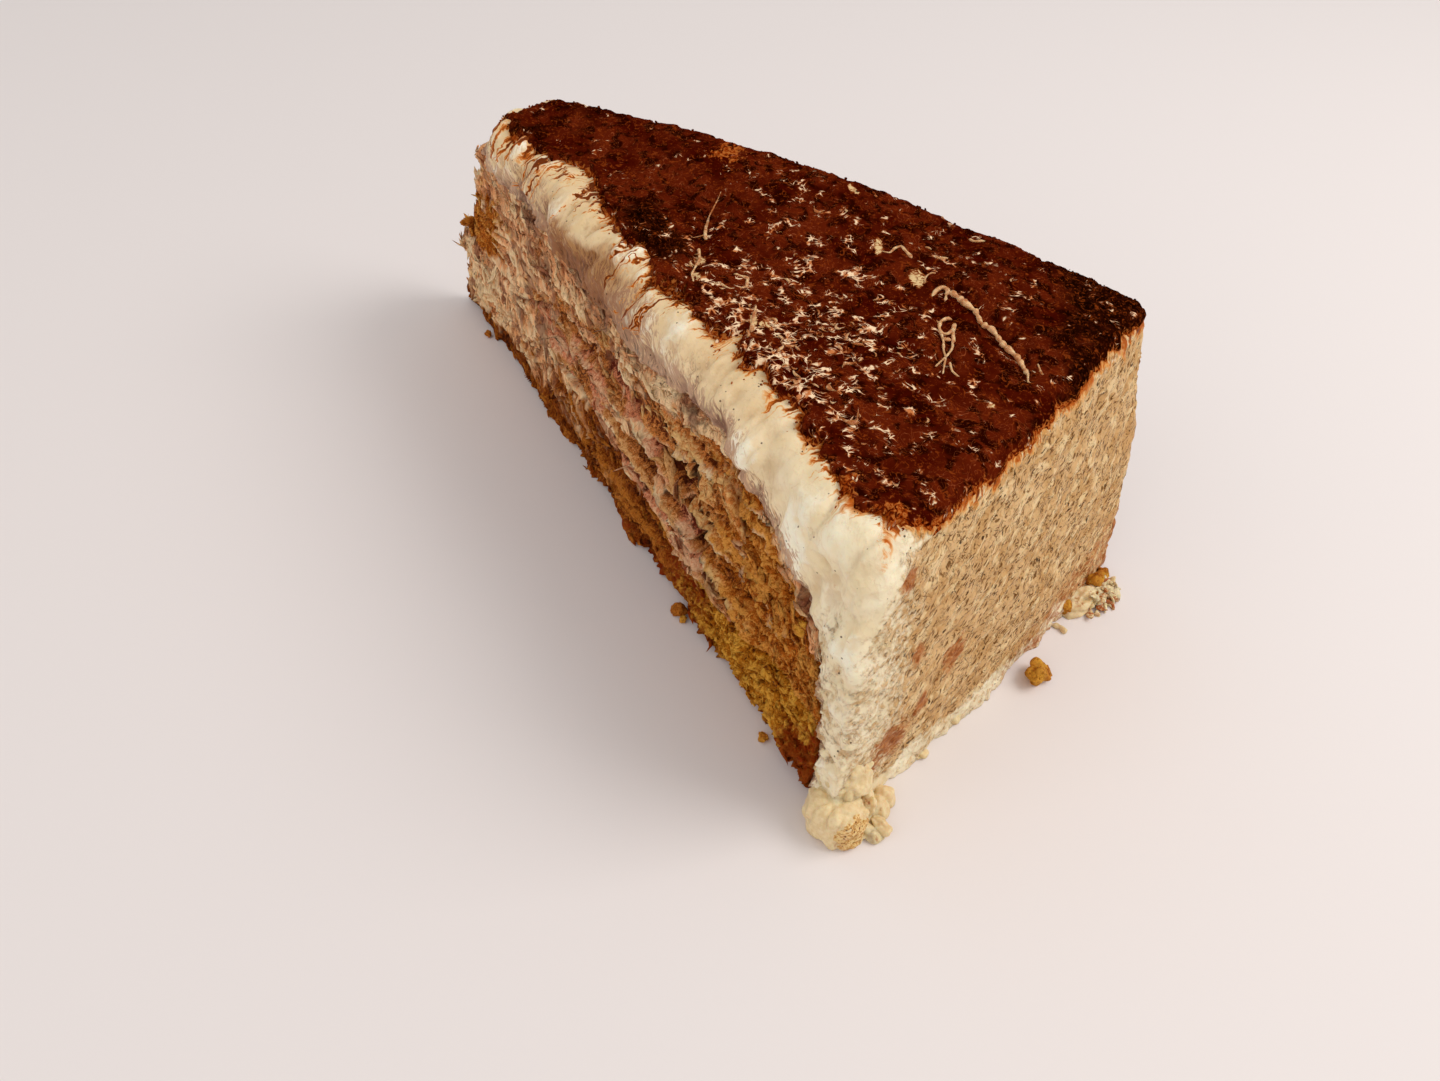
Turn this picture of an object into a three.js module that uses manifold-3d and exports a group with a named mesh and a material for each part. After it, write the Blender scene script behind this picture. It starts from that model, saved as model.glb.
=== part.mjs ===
// One slice of layered tiramisu cake, standing on its flat base. Millimetres, +Z up.
// +X runs from the thin tip to the frosted rim. The cut face on the -Y side is the one usually seen.
import * as THREE from "three";
import { mergeVertices } from "three/addons/utils/BufferGeometryUtils.js";
import Module from "manifold-3d";

const { clamp, degToRad, lerp, smoothstep } = THREE.MathUtils;

// Driving dimensions of the slice.
const TIP_X = -76.5;
const RIM_X = 77.8;
const HEIGHT = 56;
const WEDGE_DEGREES = 30.3;
const TIP_HALF_WIDTH = 1.2;
const TIP_LEAN = 20;
const RIM_LEAN = 9;
const RIM_CROWN = 1.6;
const RIM_SKEW = 0.06;
const FULL_RELIEF_WIDTH = 7;
const GAP = 0.3;

// Soft forms of the frosting: rounded edges, a crown and a bulge on the far cut face.
const NEAR_SHOULDER = { width: 6, drop: 4.5 };
const FAR_SHOULDER = { width: 3, drop: 2 };
const RIM_EDGE_RADIUS = 3;
const NEAR_CORNER = { width: 5, drop: 2.6 };
const FAR_CORNER = { width: 4, drop: 1.4 };
const FROSTING_TIP_BACK = [1.2, 3.2];
const FAR_BULGE = 6;
const CROWN = 4;
const SPATULA_STEP = 1.2;
const FOOT_LIP = { height: 6, reach: 0.9 };

// The sponge block inside the frosting.
const SPONGE_TOP = 45.5;
const SPONGE_SHOULDER = 43;
const SPONGE_END_X = 71;
const SPONGE_BEND_X = 24;
const SPONGE_BEND_POWER = 3;
const BASE_TOP = 15;
const FILLING_THICKNESS = 14;
const FILLING_END_COLUMN = 22;

// Cocoa on top.
const COCOA_THICKNESS = 1.2;
const COCOA_NEAR_INSET = 5.4;
const COCOA_FAR_INSET = 1.1;
const FROSTING_TOP = HEIGHT - GAP - COCOA_THICKNESS;

// Grid of the bent boxes: columns along the slice, lines across it.
const STRAIGHT_COLUMNS = 24;
const BEND_COLUMNS = 6;
const COLUMNS = STRAIGHT_COLUMNS + BEND_COLUMNS;
const STRAIGHT_END_X = 50;
const BEND_END_ANGLE = degToRad(65);
const UPPER_END_ROWS = 3;
const BASE_END_ROWS = 4;
const SHELL_STEPS = COLUMNS + UPPER_END_ROWS + BASE_END_ROWS;
const ACROSS = [-1, -0.96, -0.89, -0.8, -0.6, -0.3, 0, 0.3, 0.6, 0.82, 0.94, 1];

const HALF_WEDGE = Math.tan(degToRad(WEDGE_DEGREES / 2));

// Smooth random field between -1 and 1, the same on every run.
function noise(x, y, seed) {
  const at = (i, j) => {
    const wave = Math.sin(i * 127.1 + j * 311.7 + seed * 74.7) * 43758.5453;
    return 2 * (wave - Math.floor(wave)) - 1;
  };
  const i = Math.floor(x);
  const j = Math.floor(y);
  const u = smoothstep(x - i, 0, 1);
  const v = smoothstep(y - j, 0, 1);
  return lerp(lerp(at(i, j), at(i + 1, j), u), lerp(at(i, j + 1), at(i + 1, j + 1), u), v);
}

// How far a round edge has dropped at a distance in from it.
function roundDrop(distance, width, drop) {
  const in01 = clamp(1 - distance / width, 0, 1);
  return drop * (1 - Math.sqrt(1 - in01 * in01));
}

// The tip leans back as it rises, more and more towards the top.
function tipX(z) {
  return TIP_X + TIP_LEAN * (z / HEIGHT) ** 1.9;
}

// The rim leans back in the same way, measured at the middle of its width.
function rimX(z) {
  return RIM_X - RIM_LEAN * (z / HEIGHT) ** 1.8;
}

function halfWidth(x) {
  return Math.hypot(HALF_WEDGE * (x - TIP_X), TIP_HALF_WIDTH);
}

function farBulge(x, z) {
  const grows = smoothstep(x, -78, -22);
  const fades = 1 - 0.75 * smoothstep(x, 18, 74);
  return FAR_BULGE * clamp(z / HEIGHT, 0, 1) * grows * fades;
}

// A point of the slice: x and z in the long section, t from -1 (near cut) to 1 (far cut).
// proud is how far the cut faces stand out there, less where the slice is thin.
function place(x, z, t, proud = 0) {
  const half = halfWidth(x) + proud * t * t * Math.min(1, halfWidth(x) / FULL_RELIEF_WIDTH);
  const y = half * t + (farBulge(x, z) * (t + 1)) / 2;
  const height01 = clamp(z / HEIGHT, 0, 1);
  const width = 2 * half + farBulge(x, z);
  const toRim = smoothstep(x, 10, 70);
  const crown = RIM_CROWN * ((y + 8) / 38) ** 2 + RIM_SKEW * y * height01;
  const nearCorner = roundDrop(((t + 1) / 2) * width, NEAR_CORNER.width, NEAR_CORNER.drop);
  const farCorner = roundDrop(((1 - t) / 2) * width, FAR_CORNER.width, FAR_CORNER.drop);
  const corner = Math.max(nearCorner, farCorner) * height01 * smoothstep(x, 60, 75);
  const nose = 1.4 * t * t * (1 - smoothstep(x, TIP_X, TIP_X + 34)) * smoothstep(z, 2, 40);
  return new THREE.Vector3(x - crown * toRim - corner + nose, y, z);
}

// Height of the sponge block along the slice, before it bends down at the rim.
function spongeTop(x) {
  const level = lerp(SPONGE_TOP, SPONGE_SHOULDER, smoothstep(x, 40, 54));
  return level + 2.3 * Math.exp(-(((x - 34) / 16) ** 2)) + 0.8 * noise(x / 17, 0, 3);
}

function spongeEndX(z) {
  const fall = clamp(z / SPONGE_SHOULDER, 0, 1) ** SPONGE_BEND_POWER;
  return lerp(SPONGE_BEND_X, SPONGE_END_X, (1 - fall) ** (1 / SPONGE_BEND_POWER));
}

function columnX(column, z) {
  if (column <= STRAIGHT_COLUMNS) {
    return lerp(tipX(z), STRAIGHT_END_X, column / STRAIGHT_COLUMNS);
  }
  return lerp(STRAIGHT_END_X, spongeEndX(z), (column - STRAIGHT_COLUMNS) / BEND_COLUMNS);
}

// The block's outline in the long section: along its top, round the bend and down its end.
function spongeOutline() {
  const points = [];
  for (let column = 0; column <= STRAIGHT_COLUMNS; column++) {
    const x = columnX(column, SPONGE_TOP);
    const fall = clamp((x - SPONGE_BEND_X) / (SPONGE_END_X - SPONGE_BEND_X), 0, 1);
    const z = spongeTop(x) * (1 - fall ** SPONGE_BEND_POWER) ** (1 / SPONGE_BEND_POWER);
    points.push(new THREE.Vector2(x, z));
  }
  const power = 2 / SPONGE_BEND_POWER;
  const bendStart = (STRAIGHT_END_X - SPONGE_BEND_X) / (SPONGE_END_X - SPONGE_BEND_X);
  const startAngle = Math.asin(bendStart ** (1 / power));
  for (let step = 1; step <= BEND_COLUMNS; step++) {
    const angle = lerp(startAngle, BEND_END_ANGLE, step / BEND_COLUMNS);
    const x = lerp(SPONGE_BEND_X, SPONGE_END_X, Math.sin(angle) ** power);
    points.push(new THREE.Vector2(x, spongeTop(x) * Math.cos(angle) ** power));
  }
  const bendEnd = points.at(-1).y;
  const baseEnd = baseTop(SPONGE_END_X) + GAP;
  for (let row = 1; row <= UPPER_END_ROWS; row++) {
    const z = lerp(bendEnd, baseEnd, row / UPPER_END_ROWS);
    points.push(new THREE.Vector2(spongeEndX(z), z));
  }
  for (let row = 1; row <= BASE_END_ROWS; row++) {
    const z = lerp(baseEnd, 0, row / BASE_END_ROWS);
    points.push(new THREE.Vector2(spongeEndX(z), z));
  }
  return points;
}

function baseTop(x) {
  return BASE_TOP + 2 * Math.sin((x + 30) / 14) + 0.7 * noise(x / 9, 1, 5);
}

// The filling swells from the tip, is fullest past the middle and closes before the rim.
function fillingThickness(x) {
  const along = clamp((x - TIP_X) / (columnX(FILLING_END_COLUMN, BASE_TOP) - TIP_X), 0, 1);
  const swell = smoothstep(along, 0.05, 0.6) * (1 - smoothstep(along, 0.85, 1));
  return lerp(4.5, 1.2, along) + FILLING_THICKNESS * swell;
}

// Crags of the broken sponge and soft swells of the cream on the cut faces.
function spongeCrags(x, z, side) {
  const crags = 1.1 * noise(x / 5.5, z / 4.5, 11 + side) + 0.7 * noise(x / 13, z / 8, 12 + side) - 0.4;
  return crags * (1 - smoothstep(x, SPONGE_END_X - 7, SPONGE_END_X));
}

function creamSwells(x, z, side) {
  return 0.8 * noise(x / 11, z / 6, 21 + side) + 0.5;
}

// A closed skin over a box of grid lines, bent into place by placeAt(i, k, j).
function bentBox(columns, lines, rows, placeAt) {
  const numbers = new Map();
  const positions = [];
  const faces = [];
  const corner = (i, k, j) => {
    const key = (i * (lines + 1) + k) * (rows + 1) + j;
    if (!numbers.has(key)) {
      numbers.set(key, positions.length / 3);
      positions.push(...placeAt(i, k, j).toArray());
    }
    return numbers.get(key);
  };
  const quad = (a, b, c, d, outward) => {
    const order = outward ? [a, b, c, a, c, d] : [a, c, b, a, d, c];
    faces.push(...order.map((point) => corner(...point)));
  };
  for (const far of [false, true]) {
    for (let i = 0; i < columns; i++) {
      for (let k = 0; k < lines; k++) {
        const j = far ? rows : 0;
        quad([i, k, j], [i + 1, k, j], [i + 1, k + 1, j], [i, k + 1, j], far);
      }
      for (let j = 0; j < rows; j++) {
        const k = far ? lines : 0;
        quad([i, k, j], [i + 1, k, j], [i + 1, k, j + 1], [i, k, j + 1], !far);
      }
    }
    for (let k = 0; k < lines; k++) {
      for (let j = 0; j < rows; j++) {
        const i = far ? columns : 0;
        quad([i, k, j], [i, k + 1, j], [i, k + 1, j + 1], [i, k, j + 1], far);
      }
    }
  }
  const geometry = new THREE.BufferGeometry();
  geometry.setAttribute("position", new THREE.Float32BufferAttribute(positions, 3));
  geometry.setIndex(faces);
  return geometry;
}

// A layer between two outlines of the long section, with crags only between them and on its sides.
function layer(columns, rows, lowAt, highAt, crags) {
  return bentBox(columns, ACROSS.length - 1, rows, (i, k, j) => {
    const low = lowAt(i);
    const high = highAt(i);
    const x = lerp(low.x, high.x, j / rows);
    const z = lerp(low.y, high.y, j / rows);
    const t = ACROSS[k];
    const inside = Math.sin((Math.PI * j) / rows);
    const bottom = j === 0 && low.y === 0 ? 0.5 : 0;
    return place(x, z, t, (inside + bottom) * crags(x, z, Math.sign(t)));
  });
}

const outline = spongeOutline();

function baseTopAt(column) {
  const x = columnX(column, BASE_TOP);
  return new THREE.Vector2(x, baseTop(x));
}

function fillingTopAt(column) {
  const low = baseTopAt(column);
  const z = low.y + GAP + fillingThickness(low.x);
  return new THREE.Vector2(columnX(column, z), z);
}

function makeBaseSponge() {
  const floorAt = (column) => new THREE.Vector2(columnX(column, 0), 0);
  return layer(COLUMNS, 4, floorAt, baseTopAt, spongeCrags);
}

function makeFilling() {
  const lowAt = (column) => baseTopAt(column).add(new THREE.Vector2(0, GAP));
  return layer(FILLING_END_COLUMN, 4, lowAt, fillingTopAt, creamSwells);
}

function makeUpperSponge() {
  const lowAt = (column) => {
    const under = column <= FILLING_END_COLUMN ? fillingTopAt(column) : baseTopAt(column);
    return under.add(new THREE.Vector2(0, GAP));
  };
  return layer(COLUMNS, UPPER_END_ROWS, lowAt, (column) => outline[column], spongeCrags);
}

// The sponge outline moved outwards by the gap, as the inside of the frosting.
function frostingInside() {
  return outline.map((point, i) => {
    const before = outline[Math.max(i - 1, 0)];
    const after = outline[Math.min(i + 1, outline.length - 1)];
    const along = after.clone().sub(before).normalize();
    const moved = point.clone().add(new THREE.Vector2(-along.y, along.x).multiplyScalar(GAP));
    moved.x += FROSTING_TIP_BACK[0] * Math.max(1 - i / 3, 0);
    if (i === outline.length - 1) {
      moved.y = 0;
    }
    return moved;
  });
}

// The outside of the frosting: flat top, round rim edge and leaning rim down to its foot.
function frostingOutside() {
  const points = [];
  const topColumns = STRAIGHT_COLUMNS + 2;
  const edgeX = rimX(FROSTING_TOP) - RIM_EDGE_RADIUS;
  const startX = tipX(FROSTING_TOP) + FROSTING_TIP_BACK[1];
  for (let column = 0; column <= topColumns; column++) {
    const straight = column / STRAIGHT_COLUMNS;
    const x =
      column <= STRAIGHT_COLUMNS
        ? lerp(startX, STRAIGHT_END_X, straight)
        : lerp(STRAIGHT_END_X, edgeX, (column - STRAIGHT_COLUMNS) / 2);
    points.push(new THREE.Vector2(x, FROSTING_TOP));
  }
  for (const angle of [45, 0].map(degToRad)) {
    const x = edgeX + RIM_EDGE_RADIUS * Math.cos(angle);
    points.push(new THREE.Vector2(x, FROSTING_TOP - RIM_EDGE_RADIUS * (1 - Math.sin(angle))));
  }
  const rows = SHELL_STEPS + 1 - points.length;
  for (let row = 1; row <= rows; row++) {
    const z = lerp(FROSTING_TOP - RIM_EDGE_RADIUS, 0, row / rows);
    points.push(new THREE.Vector2(rimX(z), z));
  }
  return points;
}

// What the top rises above its plain height: a crown to the far side, a spatula step, dropped edges.
function topRise(x, t) {
  const width = 2 * halfWidth(x) + farBulge(x, FROSTING_TOP);
  const near = ((t + 1) / 2) * width;
  const far = ((1 - t) / 2) * width;
  const nearWidth = Math.min(NEAR_SHOULDER.width, 0.45 * width);
  const crown = CROWN * smoothstep(t, -0.3, 0.9) * Math.exp(-(((x - 2) / 36) ** 2));
  const y = halfWidth(x) * t + (farBulge(x, FROSTING_TOP) * (t + 1)) / 2;
  const step = SPATULA_STEP * smoothstep(y, 10, 16) * smoothstep(x, 30, 42);
  const tip = roundDrop(x - tipX(FROSTING_TOP) - FROSTING_TIP_BACK[1], 4, 1.4);
  const edges =
    roundDrop(near, nearWidth, NEAR_SHOULDER.drop) +
    roundDrop(far, FAR_SHOULDER.width, FAR_SHOULDER.drop);
  return crown + step - tip - edges + 0.5 * noise(x / 14, y / 12, 31);
}

const inside = frostingInside();
const outside = frostingOutside();

// A point of the frosting: step runs along the top and down the rim, out01 from inside to outside.
function frostingPoint(step, t, out01) {
  const inner = inside[step];
  const outer = outside[step];
  const onTop = smoothstep(outer.y, FROSTING_TOP - 16, FROSTING_TOP);
  const x = lerp(inner.x, outer.x, out01);
  const z = lerp(inner.y, outer.y + topRise(outer.x, t) * onTop, out01);
  const swell = Math.sin(Math.PI * out01) * creamSwells(x, z, Math.sign(t));
  const point = place(x, z, t, swell);
  const onRim = out01 * smoothstep(outer.x, 66, 70) * (1 - onTop);
  const lip = FOOT_LIP.reach * (1 - smoothstep(z, 0, FOOT_LIP.height)) * noise(point.y / 4, 0, 41);
  point.x += onRim * (0.45 * noise(point.y / 7, z / 7, 42) + lip);
  return point;
}

function solidOf(geometry) {
  const bare = geometry.clone();
  bare.deleteAttribute("normal");
  bare.deleteAttribute("uv");
  const merged = mergeVertices(bare, 1e-4);
  return new wasm.Manifold(
    new wasm.Mesh({
      numProp: 3,
      vertProperties: new Float32Array(merged.attributes.position.array),
      triVerts: new Uint32Array(merged.index.array),
    }),
  );
}

function geometryOf(solid) {
  const mesh = solid.getMesh();
  const geometry = new THREE.BufferGeometry();
  geometry.setAttribute("position", new THREE.BufferAttribute(mesh.vertProperties, 3));
  geometry.setIndex(new THREE.BufferAttribute(mesh.triVerts, 1));
  return geometry;
}

// A squeezed lump of cream on the floor, an uneven ball whose underside is flat.
function creamLump({ at, size, segments, seed }) {
  const ball = new THREE.SphereGeometry(1, segments, Math.round(segments * 0.7));
  const position = ball.attributes.position;
  const point = new THREE.Vector3();
  for (let i = 0; i < position.count; i++) {
    point.fromBufferAttribute(position, i);
    const uneven = 1 + 0.12 * noise(point.x * 1.6 + point.z, point.y * 1.6 - point.z, seed);
    point.multiplyScalar(uneven).multiply(size).add(at);
    position.setXYZ(i, point.x, point.y, Math.max(point.z, 0));
  }
  return ball;
}

const LUMPS = [
  { at: new THREE.Vector3(76.7, -42.1, 3), size: new THREE.Vector3(6.1, 4.7, 5.6), segments: 18, seed: 51 },
  { at: new THREE.Vector3(80, -35.5, 1.2), size: new THREE.Vector3(3.4, 3.6, 3.2), segments: 12, seed: 52 },
  { at: new THREE.Vector3(78.6, 29, 0.8), size: new THREE.Vector3(3.2, 5.4, 3.4), segments: 12, seed: 53 },
];

function makeFrosting() {
  const lines = ACROSS.length - 1;
  const shell = bentBox(SHELL_STEPS, lines, 4, (i, k, j) => frostingPoint(i, ACROSS[k], j / 4));
  const solids = [shell, ...LUMPS.map(creamLump)].map(solidOf);
  return geometryOf(solids.reduce((joined, next) => joined.add(next)));
}

// The ragged outline of the cocoa, seen from above: near edge, rim edge, then far edge back.
function cocoaOutline() {
  const points = [];
  const tipEnd = tipX(FROSTING_TOP) + FROSTING_TIP_BACK[1] + 1;
  const rimEnd = rimX(FROSTING_TOP) - 0.9;
  const steps = 34;
  for (let i = 0; i <= steps; i++) {
    const x = lerp(tipEnd, rimEnd, i / steps);
    const inset = Math.min(COCOA_NEAR_INSET * (1 + 0.5 * noise(i / 1.7, 0, 61)), halfWidth(x) * 0.7);
    points.push(new THREE.Vector2(x, -halfWidth(x) + inset));
  }
  for (let i = 1; i < 14; i++) {
    const t = lerp(-0.88, 0.9, i / 14);
    const edge = place(rimEnd, FROSTING_TOP, t);
    points.push(new THREE.Vector2(edge.x + 0.7 * noise(i, 0, 62), edge.y));
  }
  for (let i = steps; i >= 0; i--) {
    const x = lerp(tipEnd, rimEnd - 3, i / steps);
    const edge = halfWidth(x) + farBulge(x, FROSTING_TOP);
    points.push(new THREE.Vector2(x, edge - COCOA_FAR_INSET * (1 + 0.6 * noise(i / 1.5, 0, 63))));
  }
  return new THREE.Shape(points);
}

function makeCocoa() {
  const lines = ACROSS.length - 1;
  const columns = STRAIGHT_COLUMNS + 4;
  const sheet = bentBox(columns, lines, 1, (i, k, j) => {
    const grain = 0.3 * noise(i * 1.9, k * 2.3, 64);
    const point = frostingPoint(i, ACROSS[k], 1);
    point.z += GAP + j * (COCOA_THICKNESS + grain);
    return point;
  });
  const prism = new THREE.ExtrudeGeometry(cocoaOutline(), { depth: HEIGHT, bevelEnabled: false });
  prism.translate(0, 0, HEIGHT / 2);
  return geometryOf(solidOf(sheet).intersect(solidOf(prism)));
}

function addPiece(group, name, geometry, color, roughness) {
  geometry.computeVertexNormals();
  const material = new THREE.MeshStandardMaterial({ color, roughness, metalness: 0 });
  const mesh = new THREE.Mesh(geometry, material);
  mesh.name = name;
  group.add(mesh);
}

const wasm = await Module();
wasm.setup();

const group = new THREE.Group();
addPiece(group, "sponge_base", makeBaseSponge(), 0xa8702c, 0.95);
addPiece(group, "cream_filling", makeFilling(), 0xc9ae94, 0.7);
addPiece(group, "sponge_upper", makeUpperSponge(), 0xb58a58, 0.95);
addPiece(group, "cream_frosting", makeFrosting(), 0xeadfc0, 0.55);
addPiece(group, "cocoa_top", makeCocoa(), 0x4a1c0c, 1);

export default group;
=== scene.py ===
"""A slice of tiramisu cake dressed over its solids: torn sponge, folded filling, smeared cream and cocoa.

Shapes are worked out in millimetres, in the frame of the solids, and written to the meshes in metres.
"""
import math

import bpy
import numpy as np
from mathutils import Matrix, Vector


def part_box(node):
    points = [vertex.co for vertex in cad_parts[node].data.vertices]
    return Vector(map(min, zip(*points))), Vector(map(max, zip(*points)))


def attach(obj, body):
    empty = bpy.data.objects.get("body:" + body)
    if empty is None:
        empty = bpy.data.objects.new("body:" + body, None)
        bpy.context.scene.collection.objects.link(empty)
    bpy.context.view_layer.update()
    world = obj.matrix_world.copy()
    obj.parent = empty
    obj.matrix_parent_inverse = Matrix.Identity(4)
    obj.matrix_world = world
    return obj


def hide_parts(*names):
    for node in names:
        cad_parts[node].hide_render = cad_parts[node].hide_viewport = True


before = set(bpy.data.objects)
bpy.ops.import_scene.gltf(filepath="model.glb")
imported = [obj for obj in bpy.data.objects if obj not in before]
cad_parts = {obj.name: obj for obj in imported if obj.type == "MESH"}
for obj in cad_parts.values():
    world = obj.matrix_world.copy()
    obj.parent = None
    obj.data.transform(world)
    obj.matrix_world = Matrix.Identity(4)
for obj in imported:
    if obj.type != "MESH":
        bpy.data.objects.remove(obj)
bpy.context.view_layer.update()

MM = 0.001

# Driving dimensions, the same as in the solids.
TIP_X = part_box("sponge_base")[0].x / MM
RIM_X = 77.8
HEIGHT = 56.0
HALF_ANGLE = math.radians(15.15)
HALF_WEDGE = math.tan(HALF_ANGLE)
TIP_HALF_WIDTH = 1.2
TIP_LEAN = 20.0
RIM_LEAN = 9.0
RIM_CROWN = 1.6
RIM_SKEW = 0.06
GAP = 0.3
COCOA_THICKNESS = 1.2
FROSTING_TOP = HEIGHT - GAP - COCOA_THICKNESS
NEAR_SHOULDER = (6.0, 4.5)
FAR_SHOULDER = (3.0, 2.0)
RIM_EDGE_RADIUS = 3.0
NEAR_CORNER = (5.0, 2.6)
FAR_CORNER = (4.0, 1.4)
FROSTING_TIP_BACK = (1.2, 3.2)
FAR_BULGE = 6.0
CROWN = 4.0
SPATULA_STEP = 1.2
SPONGE_TOP = 45.5
SPONGE_SHOULDER = 43.0
SPONGE_END_X = 71.0
SPONGE_BEND_X = 24.0
SPONGE_BEND_POWER = 3.0
BASE_TOP = 15.0
FILLING_THICKNESS = 14.0
FILLING_END_COLUMN = 22.0
STRAIGHT_COLUMNS = 24.0
STRAIGHT_END_X = 50.0
BEND_END_COLUMN = 30.0
UPPER_END_COLUMN = 33.0
LAST_COLUMN = 37.0
BEND_END_ANGLE = math.radians(65)

# Finer things than the solids hold.
COCOA_RISE = GAP + COCOA_THICKNESS
# Where the cocoa ends on the near side: x and the distance in from the cut.
COCOA_NEAR_INSET = (
    (-56, 1.6), (-47, 2.4), (-42, 2.9), (-35, 3.9), (-30, 8.2), (-25.5, 9.2),
    (-20, 6.6), (-12.5, 5.8), (4.5, 4.4), (13.7, 5.0), (22, 7.2), (28.6, 8.5),
    (36, 7.4), (43.6, 6.6), (53.5, 4.8), (61, 4.4), (66, 6.4), (69.5, 9.0),
)
# Where the tan of the rim begins: z and y.
TAN_EDGE_Y = ((31, -42.5), (40, -41), (45, -37), (49, -35), (54, -34))
# Upper edge of the white lip at the rim's foot: y and z.
FOOT_LIP_Z = (
    (-42, 8), (-36, 4), (-30, 5), (-25, 10), (-20, 8), (-15, 5),
    (-5, 7), (7, 4), (14, 4), (17, 9), (24, 4), (42, 1.5),
)
# Holes in the near cut face.
CAVITIES = (
    {"x": 19.0, "z": 35.2, "long": 4.4, "high": 2.0, "turn": -0.5, "depth": 6.5},
    {"x": 24.2, "z": 31.6, "long": 2.6, "high": 1.7, "turn": -0.9, "depth": 5.0},
    {"x": 29.0, "z": 34.4, "long": 3.2, "high": 2.3, "turn": -1.0, "depth": 6.0},
    {"x": 33.0, "z": 27.5, "long": 2.2, "high": 1.2, "turn": -0.8, "depth": 3.0},
)
# Strokes on the rim run up towards the far side, this far from upright.
RIM_STROKE_TURN = math.radians(56)
# Rusty patches on the rim: y, z and size.
RUST_PATCHES = (
    (-31.8, 14, 4.2), (-35.5, 9.5, 3.0), (-17.5, 23, 3.2),
    (-25.2, 18.2, 2.0), (-32, 48, 2.0), (-28, 31, 1.8),
)
# Smooth dent in the cream of the near corner.
DENT = {"at": (75.7, -43.4, 23.0), "size": 2.6, "depth": 1.1}
# Squeezed cream at the rim's foot: centre and half sizes. The first is the big one.
CREAM_LUMPS = (
    ((76.5, -42.1, 3.3), (5.7, 4.6, 5.2)),
    ((74.4, -38.4, 8.0), (4.2, 3.8, 5.8)),
    ((78.9, -36.8, 3.2), (1.9, 1.5, 3.6)),
    ((81.9, -36.9, 1.5), (2.2, 1.2, 1.4)),
    ((80.3, -38.6, 0.8), (3.1, 2.0, 1.2)),
    ((82.6, -38.9, 0.7), (1.1, 1.1, 0.9)),
    ((79.4, -34.6, 1.0), (2.2, 3.8, 2.3)),
    ((78.0, -21.0, 0.4), (1.6, 1.2, 0.7)),
    ((77.8, -11.0, 0.5), (0.7, 1.0, 1.0)),
    ((78.0, 29.4, 0.8), (2.4, 5.4, 2.6)),
    ((79.0, 20.9, 0.5), (1.3, 0.6, 0.8)),
)
POROUS_SIDE = Vector((0.96, -0.22, 0.16))
# Loose crumbs beside and on the slice: centre, half sizes, how golden.
CRUMBS = (
    ((82.6, 7.6, 1.7), (2.8, 2.0, 1.8), 1.0),
    ((60.4, -36.2, 30.5), (1.2, 1.3, 2.4), 1.0),
    ((28.5, -30.4, 1.1), (1.4, 1.1, 1.1), 0.2),
    ((30.6, -31.0, 0.5), (0.6, 0.6, 0.5), 0.8),
    ((-71.3, -2.2, 24.0), (1.6, 1.2, 1.0), 0.6),
    ((-62.0, -6.2, 0.6), (0.8, 0.7, 0.6), 0.5),
    ((58.0, -38.6, 0.6), (0.8, 0.7, 0.6), 0.9),
    ((77.9, 33.8, 2.8), (1.5, 1.8, 1.7), 0.9),
    ((77.2, 24.6, 2.2), (1.2, 1.5, 1.3), 1.0),
    ((77.6, 37.6, 1.6), (1.0, 1.3, 1.2), 1.0),
)
# Places where the cocoa lies thin: x, y and size.
THIN_SPOTS = ((67.5, -32, 3.0), (58.5, -31, 2.2), (-12.0, 17.0, 3.2))
# Smooth patches of cream in the cocoa: x, y, half length, half width and turn.
CREAM_SPOTS = (
    (25.1, 16.2, 2.2, 0.8, -0.85), (35.4, 14.0, 2.2, 1.3, -0.5), (7.0, -8.4, 1.6, 1.0, -0.9),
    (10.0, -12.4, 1.4, 0.8, -0.6), (27.0, -13.6, 1.1, 0.8, 0.3), (12.0, 24.5, 1.6, 0.7, -0.3),
    (62.2, -1.9, 0.8, 0.5, 0.4), (24.6, -13.8, 2.2, 0.7, -0.8),
)
# Furrows in the cocoa beside the creases.
CREASES = (
    ((41, 14.8), (47, 14.3), (52, 12.9), (58, 10.8), (61.5, 8.5)),
    ((44.5, 10.5), (47, 7.0), (50.5, 2.6), (53, -1.6)),
    ((-3.7, 6.3), (-1.7, 2.3), (1.9, -2.2), (7.1, -8.2), (9.6, -12.9)),
)
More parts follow.
